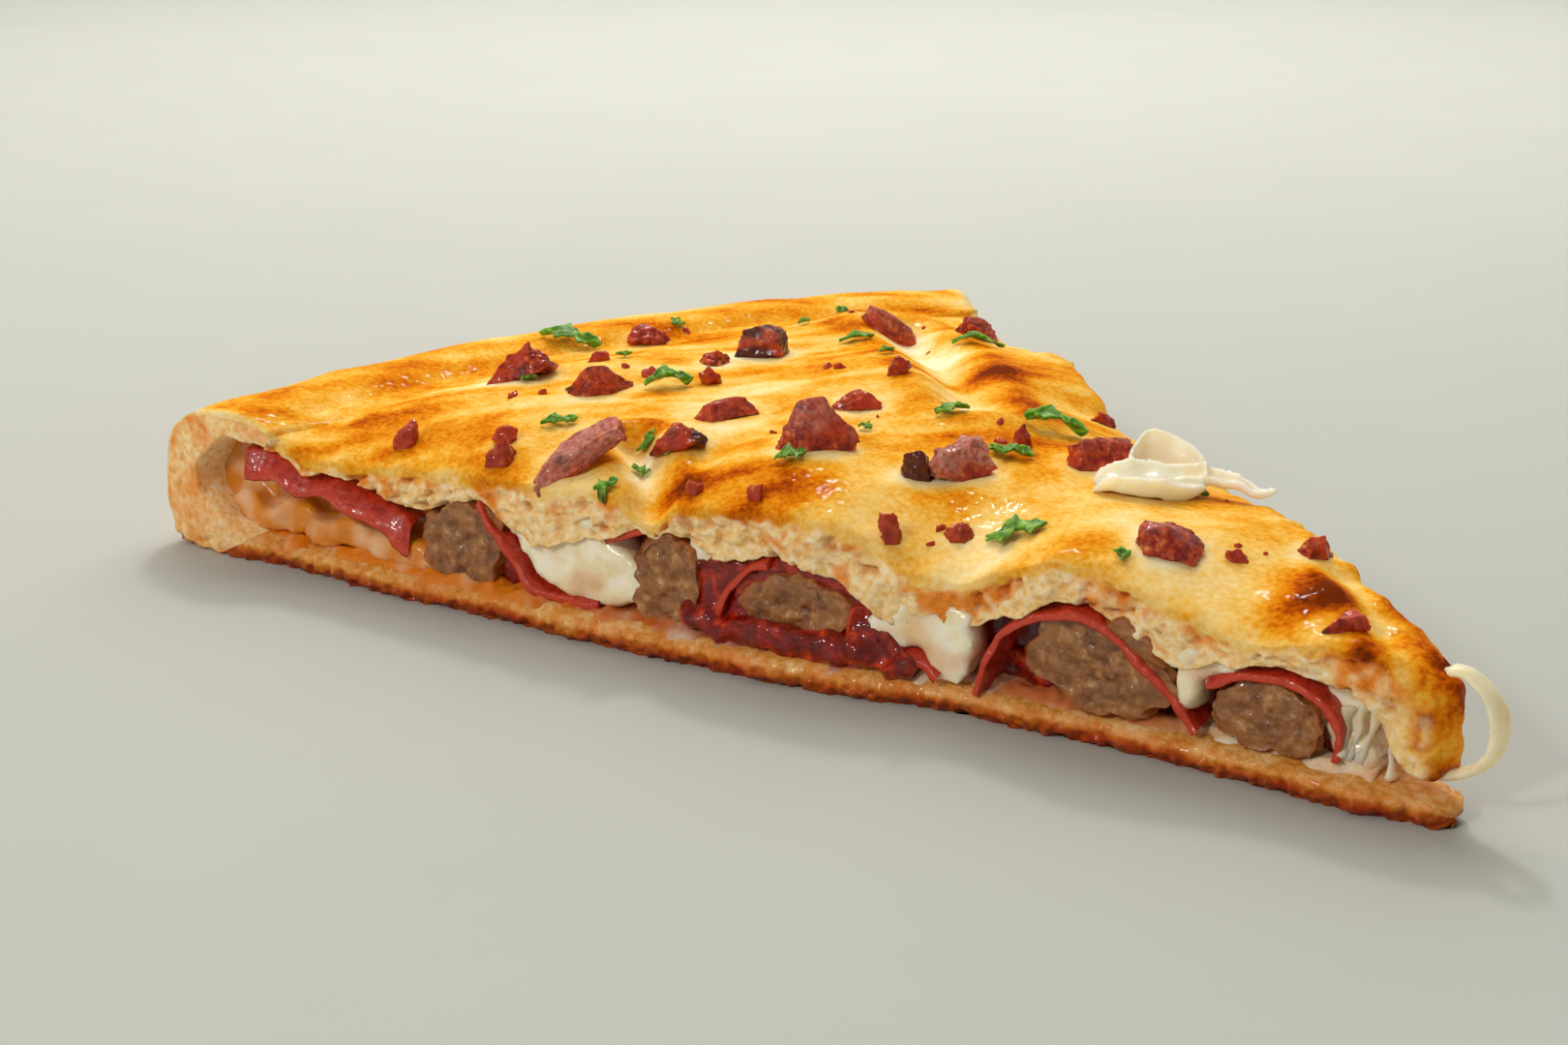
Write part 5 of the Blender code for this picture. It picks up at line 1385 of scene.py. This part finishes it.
class PIZZA_OT_sausage(bpy.types.Operator):
    """Make the chunks of sausage at the cuts"""

    bl_idname = "pizza_slice.sausage"
    bl_label = "Sausage"

    def execute(self, context):
        for number, row in enumerate(SAUSAGES, 1):
            node = f"sausage_{'near' if row[0] == NEAR else 'far'}_{number}"
            cells = (72, 104) if row[0] == NEAR else (52, 76)
            points, quads, _, from_middle, fine = lump(*row, *cells, 0.26, 0.1, 1.35)
            points = sunk_above(points, FLOOR_THICKNESS + 0.2 * MM)
            edge = rise(from_middle, 0.80, 0.98) * (0.7 + 0.6 * bumps(points, 3 * MM, 81))
            # Painted shade: the hollows of the lumpy surface are marked to be coloured darker
            deep = rise(-fine, 0.1, 0.6)
            solid_from(
                f"{node}_cooked", points, quads, "sausage_ground_and_cooked", "sausage", [node],
                edge=np.clip(edge, 0, 1), deep=deep,
            )
        return {"FINISHED"}


class PIZZA_OT_pepperoni(bpy.types.Operator):
    """Make the thin slices of pepperoni at the cuts"""

    bl_idname = "pizza_slice.pepperoni"
    bl_label = "Pepperoni"

    def execute(self, context):
        for name, side, rib, run in PEPPERONI:
            run = np.array(run, float)
            inward = run / np.linalg.norm(run)
            hang = 3.4 if name == "under_lid_by_rim" else 0.8

            def place(u, v, w):
                here = along_rib(rib, u)
                ahead = along_rib(rib, np.minimum(1.0, u + 0.02))
                ahead = ahead - along_rib(rib, np.maximum(0.0, u - 0.02))
                depth = np.sqrt(np.maximum(0.05, 1 - (1.96 * (u - 0.5)) ** 2))
                normal = np.cross(ahead, run)
                normal /= np.linalg.norm(normal, axis=-1, keepdims=True)
                point = here + run * (v * depth)[:, None]
                ragged = 0.8 * bumps(here, 4.6, 9) + 0.24 * bumps(here, 1.6, 8)
                drop = hang * (1 + 0.4 * bumps(here, 6.0, 12))
                point[:, 2] -= drop * np.maximum(1 - v / 0.3, 0) ** 1.5
                point = point - inward * ((1 - v) ** 2 * (0.6 + ragged))[:, None]
                flutter = 0.5 * bumps(point, 5.0, len(name)) + 0.07 * bumps(point, 1.5, len(name) + 1)
                thick = mix(0.95, 1.4, v) * (1 + 0.3 * bumps(point, 2.0, 5))
                point = point + normal * ((w - 0.5) * thick + flutter)[:, None]
                return at_cut(side, point[:, 0] * MM, point[:, 1] * MM, point[:, 2] * MM)

            cells = (24 * len(rib), 20, 3) if side == NEAR else (12 * len(rib), 14, 2)
            points, quads, shares = block(cells, place)
            edge = 1 - rise(shares[:, 1] + 0.04 * bumps(points, 1.5 * MM, 6), 0.0, 0.09)
            solid_from(
                f"pepperoni_{name}_sliced", points, quads, "pepperoni_cured_and_sliced", "pepperoni",
                [f"pepperoni_{name}"], edge=np.clip(edge, 0, 1),
            )
        return {"FINISHED"}


def shard(length, width, height, seed, breaks, cells=(50, 72), peak=0.25):
    """A broken piece with flat breaks and fibres along it, about its foot, in millimetres."""
    ball, quads = round_lump(*cells)
    boxy = np.sign(ball) * np.abs(ball) ** 0.66
    points = boxy[:, [2, 0, 1]] * np.array([length, width, height]) / 2
    ball = ball[:, [2, 0, 1]]
    rng = np.random.default_rng(int(abs(seed) * 1000))
    size = np.array([length, width, height]) / 2
    points = points * (1 + 0.26 * bumps(ball, 0.9, seed) + 0.13 * bumps(ball, 0.36, seed + 6))[:, None]
    for _ in range(breaks):
        way = rng.normal(size=3)
        way[2] = 0.8 * abs(way[2])
        way /= np.linalg.norm(way)
        reach = np.linalg.norm(way * size) * rng.uniform(0.42, 0.82)
        beyond = points @ way - reach
        points = points - np.where(beyond > 0, beyond * 0.96, 0)[:, None] * way
    ridge = 1 - peak * np.abs(2 * points[:, 1] / width + 0.25)
    ridge = ridge * (1 - 0.6 * peak * np.abs(2 * points[:, 0] / length - 0.2))
    points[:, 2] = (points[:, 2] + height / 2) * np.clip(ridge, 0.15, 1) * (1 + 0.4 * peak) - height / 2
    bend = rng.uniform(-0.5, 0.9) * height * 0.3 * (2 * points[:, 0] / length) ** 2
    points[:, 2] += bend + 0.14 * height * bumps(points, length * 0.35, seed + 2)
    fibres = 0.34 * bumps(points * np.array([0.22, 1, 1]), 0.8, seed + 3)
    fibres = fibres + 0.24 * bumps(points, 1.3, seed + 4) + 0.16 * bumps(points, 0.5, seed + 5)
    points = points + ball * (fibres * min(1.0, height / 3))[:, None]
    return points, quads, fibres


def seated(ground, points, x, y, turn, lift):
    """Puts a stiff piece, about its foot in millimetres, on the crust: it leans as the crust does."""
    angle = math.radians(turn)
    along = np.array([math.cos(angle), math.sin(angle)])
    beside = np.array([-math.sin(angle), math.cos(angle)])
    middle = np.array([TOPPING_X + x * MM, y * MM])
    half_a, half_b = 0.3 * np.ptp(points[:, 0]) * MM, 0.3 * np.ptp(points[:, 1]) * MM
    height = ground(*middle)

    def level(place):
        here = ground(*place)
        return here if abs(here - height) < EDGE_DROP else height

    ends = [level(middle + half_a * along), level(middle - half_a * along)]
    sides = [level(middle + half_b * beside), level(middle - half_b * beside)]
    slope_a = (ends[0] - ends[1]) / (2 * half_a) + lift * MM / (2 * half_a + 4 * MM)
    slope_b = (sides[0] - sides[1]) / (2 * half_b)
    base = (sum(ends) + sum(sides)) / 4 + 0.35 * lift * MM
    a, b, c = points.T * MM
    flat = middle + a[:, None] * along + b[:, None] * beside
    return np.column_stack([flat, base + c + slope_a * a + slope_b * b])


class PIZZA_OT_bacon(bpy.types.Operator):
    """Make the pieces of fried bacon on top"""

    bl_idname = "pizza_slice.bacon"
    bl_label = "Bacon"

    def execute(self, context):
        ground = ground_under()
        for name, x, y, length, width, thickness, turn, lift, char_share, frost_share in BACON:
            seed = x * 0.37 + y * 0.11
            points, quads, fibres = shard(
                length * 1.06, width * 1.06, thickness * 1.25, seed, 7, peak=PEAKS.get(name, 0.25)
            )
            height = points[:, 2] - points[:, 2].min()
            points[:, 2] += thickness * 0.42
            to_ends = np.abs(2 * points[:, 0] / length)
            burnt = bumps(points, 3.2, seed + 7) - 0.9 + 1.6 * char_share + 0.35 * to_ends
            # Where the frosty skin lies: partly salt and fat, partly painted sheen, paler the higher a point
            # is on the piece
            salt_and_sheen = bumps(points, 4.0, seed + 8) * 0.5 + height / thickness - 1.0 + frost_share * 0.8
            points = seated(ground, points, x, y, turn, lift)
            solid_from(
                f"bacon_{name}_fried", points, quads, "bacon_fried_crisp", "bacon", [f"bacon_{name}"],
                char=rise(burnt, 0.0, 0.7), frost=rise(salt_and_sheen, 0.0, 0.6) * frost_share,
                # Lean patches, painted brighter orange-red as glow of light through the meat as well as by
                # its own colour
                lean=rise(bumps(points, 5 * MM, seed + 9), -0.1, 0.4),
            )
        return {"FINISHED"}


class PIZZA_OT_bits(bpy.types.Operator):
    """Make the small bits of bacon and parsley that lie on the crust"""

    bl_idname = "pizza_slice.bits"
    bl_label = "Small bits"

    def execute(self, context):
        ground = ground_under()
        rng = np.random.default_rng(7)
        parts, char = [], []
        crumbs = [(*row, rng.uniform(0, 0.5)) for row in BACON_BITS]
        for _ in range(24):
            size = rng.uniform(0.5, 1.5)
            x, y = rng.uniform(-90, 78), rng.uniform(-1, 1)
            y = y * (108 - x) * 0.36
            crumbs.append((x, y, size * 1.7, size, size * 0.6, rng.uniform(0, 180), rng.uniform(0, 0.5)))
        for x, y, length, width, height, turn, dark in crumbs:
            cells = (24, 34) if length > 2.2 else (10, 14)
            points, quads, _ = shard(length, width, height * 1.2, x + y, 5, cells)
            points[:, 2] += height * 0.4
            parts.append((seated(ground, points, x, y, turn, 0.0), quads))
            char.append(np.full(len(points), dark))
        points, quads = joined(parts)
        # The bits are mostly lean, painted brighter orange-red as glow of light through them
        solid_from(
            "bacon_bits_fried", points, quads, "bacon_fried_crisp", "bacon",
            char=np.concatenate(char) * 0.6, frost=0 * points[:, 0], lean=0 * points[:, 0] + 0.8,
        )
        parts = []
        for x, y, length, width, _, turn in PARSLEY_BITS:
            parts.append(leaf(on_crust(ground, x, y, turn), length, width, 0.6, x, (32, 14, 1)))
        for x, y in PARSLEY_FLECKS:
            size = rng.uniform(1.8, 3.2)
            put = on_crust(ground, x, y, rng.uniform(0, 180))
            parts.append(leaf(put, size, size * 0.7, 0.4, x, (24, 10, 1)))
        points, quads = joined(parts)
        vein = np.concatenate([part[2] for part in parts])
        solid_from("parsley_bits_chopped", points, quads, "parsley_chopped", "parsley", vein=vein)
        return {"FINISHED"}


def leaf(put, length, width, lift, seed, cells=(44, 20, 1)):
    """A thin wavy leaf with three toothed lobes: points, quads and how near a vein each point is."""

    def place(u, v, w):
        b = 2 * v - 1
        body = np.sin(np.pi * np.clip(0.03 + 0.97 * u, 0, 1)) ** 0.8
        lobes = 0.66 + 0.34 * np.cos(4.4 * np.pi * (u - 0.36 - 0.05 * np.sign(b)))
        teeth = 1 + 0.22 * np.sin(38 * u + seed + 2 * b)
        half = 0.78 * width * MM * body * (lobes * teeth)
        a = (u - 0.5) * length * MM + 0.26 * length * MM * np.abs(b) * (u - 0.25)
        wave = lift * MM * (0.7 * np.sin(np.pi * u) + 0.3 * b**2) + 0.22 * MM * np.sin(9 * u + 3 * b + seed)
        return put(a, b * half, 0.4 * MM + wave + w * LEAF_THICKNESS)

    points, quads, shares = block(cells, place)
    across_leaf = np.abs(2 * shares[:, 1] - 1)
    ribs = np.abs(np.sin(12 * shares[:, 0] - 2.4 * across_leaf)) < 0.18
    return points, quads, np.maximum(1 - rise(across_leaf, 0.04, 0.14), 0.5 * ribs)


class PIZZA_OT_parsley(bpy.types.Operator):
    """Make the loose parsley leaves"""

    bl_idname = "pizza_slice.parsley"
    bl_label = "Parsley leaves"

    def execute(self, context):
        ground = ground_under()
        for name, x, y, length, width, turn, lift in LEAVES:
            points, quads, vein = leaf(on_crust(ground, x, y, turn), length, width, lift, x)
            solid_from(
                f"parsley_{name}_chopped", points, quads, "parsley_chopped", "parsley", [f"parsley_{name}"],
                vein=vein,
            )
        return {"FINISHED"}


def tube(line, sides=28, steps=70, flat=0.62, beside=(0, 1, 0)):
    """A closed tube through (x, y, z, radius) rows in millimetres: as wide as that on both sides of its run,
    and flatter across it by a share."""
    t = np.linspace(0, 1, steps)
    middle = along_rib([row[:3] for row in line], t)
    radius = along_rib([(row[3], 0, 0) for row in line], t)[:, 0]
    radius = radius * (1 - 0.75 * np.maximum(rise(t, 0.94, 1.0), 1 - rise(t, 0.0, 0.06)))
    ahead = np.gradient(middle, axis=0)
    ahead /= np.linalg.norm(ahead, axis=1, keepdims=True)
    up = np.cross(beside, ahead)
    up /= np.linalg.norm(up, axis=1, keepdims=True)
    side = np.cross(ahead, up)
    turn = np.linspace(0, 2 * np.pi, sides, endpoint=False)
    rings = middle[:, None] + radius[:, None, None] * (
        side[:, None] * np.cos(turn)[None, :, None] + flat * up[:, None] * np.sin(turn)[None, :, None]
    )
    return rings_solid(rings * MM)


def sheet(pairs, thickness):
    """A closed thin sheet between two edges, given as pairs of points in millimetres."""
    one, other = ([pair[k] for pair in pairs] for k in (0, 1))

    def place(u, v, w):
        first, second = along_rib(one, u), along_rib(other, u)
        ahead = along_rib(one, np.minimum(1, u + 0.03)) - along_rib(one, np.maximum(0, u - 0.03))
        over = np.cross(second - first, ahead)
        over /= np.maximum(np.linalg.norm(over, axis=-1, keepdims=True), 1e-6)
        point = mix(first, second, v[:, None])
        sway = 0.5 * bumps(point, 3.2, 7) + 0.8 * np.sin(np.pi * v)
        plump = thickness * (0.7 + 0.7 * np.abs(2 * v - 1) ** 3) * (0.2 + 0.8 * np.sin(np.pi * u) ** 0.6)
        return (point + over * (sway + (w - 0.5) * plump)[:, None]) * MM

    return block((70, 22, 2), place)[:2]


class PIZZA_OT_loose_cheese(bpy.types.Operator):
    """Make the curl of cheese by the far edge, and the strings at the tip"""

    bl_idname = "pizza_slice.loose_cheese"
    bl_label = "Loose cheese"

    def execute(self, context):
        ground = ground_under()
        by_edge = float(ground(TOPPING_X + 48 * MM, 14 * MM))

        def on_top(x, y, above):
            height = float(ground(TOPPING_X + x * MM, y * MM))
            height = height if abs(height - by_edge) < EDGE_DROP else by_edge
            return TOPPING_X / MM + x, y, height / MM + above

        parts = []
        for strip, thickness in zip(CHEESE_CURL, CURL_THICKNESSES):
            parts.append(sheet([[on_top(*point) for point in pair] for pair in strip], thickness))
        obj = remeshed("cheese_curl_on_top_melted", parts, CURL_VOXEL, 9)
        points, normals = points_of(obj.data), normals_of(obj.data)
        points = points + normals * (0.12 * MM * bumps(points, 3.4 * MM, 90))[:, None]
        move_points(obj.data, points)
        finish = "cheese_thin_and_oily"
        shares = {"oil": 0.04 + rise(bumps(points, 5 * MM, 91), 0.0, 0.7) * 0.2, "sauced": 0 * points[:, 0]}
        finished(obj, finish, "mozzarella", ["cheese_curl_on_top"], **shares)
        rows = [(TIP_X / MM + x, y, z, radius) for x, y, z, radius in TIP_STRING]
        points, quads = tube(rows, flat=0.45)
        points = points + 0.14 * MM * jitter(points, 1.8 * MM, (92, 93, 94))
        solid_from(
            "cheese_string_at_tip_melted", points, quads, finish, "mozzarella", ["cheese_string_at_tip"],
            oil=0.45 + 0.3 * bumps(points, 4 * MM, 95), sauced=0 * points[:, 0],
        )
        rng = np.random.default_rng(11)
        parts = []
        for side, s in STRANDS:
            lean, radius = rng.uniform(-1.2, 2.2), rng.uniform(0.34, 0.8)
            top, foot = rng.uniform(12.4, 14.4), rng.uniform(4.2, 6.4)
            rows = []
            for share, wide in STRAND_WIDTHS:
                behind = mix(1.6, rng.uniform(-0.4, 1.0), share)
                here = at_cut(side, (s + lean * share) * MM, behind * MM, mix(top, foot, share) * MM) / MM
                rows.append((*here, radius * wide))
            parts.append(tube(rows, 14, 30, 0.8))
        points, quads = joined(parts)
        points = points + 0.35 * MM * jitter(points, 2.2 * MM, (96, 97, 98))
        solid_from(
            "cheese_strands_by_tip_melted", points, quads, finish, "mozzarella",
            oil=0.3 + 0.4 * bumps(points, 4 * MM, 99), sauced=0.1 + 0 * points[:, 0],
        )
        return {"FINISHED"}


class PIZZA_OT_stage(bpy.types.Operator):
    """Make the floor, the lights and the camera"""

    bl_idname = "pizza_slice.stage"
    bl_label = "Stage"

    def execute(self, context):
        scene = context.scene
        mesh = bpy.data.meshes.new("floor")
        corners = [(x * FLOOR_REACH, y * FLOOR_REACH, 0) for x, y in ((-1, -1), (1, -1), (1, 1), (-1, 1))]
        mesh.from_pydata(corners, [], [(0, 1, 2, 3)])
        floor = bpy.data.objects.new("floor", mesh)
        scene.collection.objects.link(floor)
        mesh.materials.append(bpy.data.materials["floor_pale_matt"])
        self.camera(scene)
        self.lights(scene)
        return {"FINISHED"}

    def camera(self, scene):
        data = bpy.data.cameras.new("camera")
        data.lens = LENS_MM
        data.sensor_width = SENSOR_MM
        data.clip_start = 0.01
        camera = bpy.data.objects.new("camera", data)
        forward = Vector(CAMERA_FORWARD).normalized()
        right = forward.cross(Vector(CAMERA_UP)).normalized()
        turn = Matrix((right, right.cross(forward), -forward)).transposed().to_4x4()
        camera.matrix_world = Matrix.Translation(CAMERA_PLACE) @ turn
        scene.collection.objects.link(camera)
        scene.camera = camera

    def lights(self, scene):
        """A large soft window behind and to the left and a softer one that lights the cut, both kept out of
        mirror images, and beside each a small lamp that gives the wet spots their sharp glints."""
        for name, place, size, power, tint, glints in LAMPS:
            data = bpy.data.lights.new(name, "AREA")
            data.shape = "SQUARE"
            data.size = size
            data.energy = power
            data.color = tint
            light = bpy.data.objects.new(name, data)
            light.visible_glossy = glints
            light.location = place
            light.rotation_euler = (Vector((0, 0, 0.01)) - Vector(place)).to_track_quat("-Z", "Y").to_euler()
            scene.collection.objects.link(light)
        world = bpy.data.worlds.new("soft_room")
        world.use_nodes = True
        background = world.node_tree.nodes["Background"]
        connect(world.node_tree, background, {"Color": ROOM_COLOUR, "Strength": ROOM_LIGHT})
        scene.world = world
        scene.view_settings.view_transform = "Standard"


class PIZZA_OT_finishes(bpy.types.Operator):
    """Make the materials of every piece"""

    bl_idname = "pizza_slice.finishes"
    bl_label = "Finishes"

    def execute(self, context):
        colours = context.scene.finish_colours
        for make in (
            crust_finish, floor_crust_finish, sauce_finish, cheese_finish, sausage_finish, pepperoni_finish,
            bacon_finish, parsley_finish, stage_finish,
        ):
            make(colours)
        # Cheese pulled thin lets light through, so that it glows warm and pale; its colours are also painted
        # paler, as painted light on its shaded front
        cheese_finish(
            colours, "cheese_thin_and_oily", "#FFDDB4", shade="#FFECD6", Subsurface_Weight=0.8,
            Subsurface_Scale=4 * MM, Subsurface_Radius=(1.0, 0.8, 0.6), Coat_Weight=0.25,
        )
        # Oil and sauce that ran out with the cheese colour it orange and red
        cheese_finish(colours, "cheese_sauce_and_oil_run_together", "#EC8A1C", "#9A200C")
        return {"FINISHED"}


class PIZZA_PT_slice(bpy.types.Panel):
    """Lists the steps that dress the slice"""

    bl_label = "Pizza slice"
    bl_idname = "PIZZA_PT_slice"
    bl_space_type = "VIEW_3D"
    bl_region_type = "UI"
    bl_category = "Pizza Slice"

    def draw(self, context):
        for group, settings in (
            (CrustSettings, context.scene.crust_settings), (FinishColours, context.scene.finish_colours),
        ):
            for setting in group.__annotations__:
                self.layout.prop(settings, setting)
        for step in STEPS:
            self.layout.operator(step.bl_idname)


STEPS = (
    PIZZA_OT_finishes, PIZZA_OT_top_crust, PIZZA_OT_bottom_crust, PIZZA_OT_tomato_sauce, PIZZA_OT_mozzarella,
    PIZZA_OT_run_off, PIZZA_OT_sausage, PIZZA_OT_pepperoni, PIZZA_OT_bacon, PIZZA_OT_bits, PIZZA_OT_parsley,
    PIZZA_OT_loose_cheese, PIZZA_OT_stage,
)
CLASSES = (CrustSettings, FinishColours, *STEPS, PIZZA_PT_slice)


def register():
    for made in CLASSES:
        bpy.utils.register_class(made)
    bpy.types.Scene.crust_settings = bpy.props.PointerProperty(type=CrustSettings)
    bpy.types.Scene.finish_colours = bpy.props.PointerProperty(type=FinishColours)


def unregister():
    del bpy.types.Scene.crust_settings
    del bpy.types.Scene.finish_colours
    for made in reversed(CLASSES):
        bpy.utils.unregister_class(made)


def main():
    register()
    for step in STEPS:
        getattr(bpy.ops.pizza_slice, step.bl_idname.split(".")[1])()


if __name__ == "__main__":
    main()
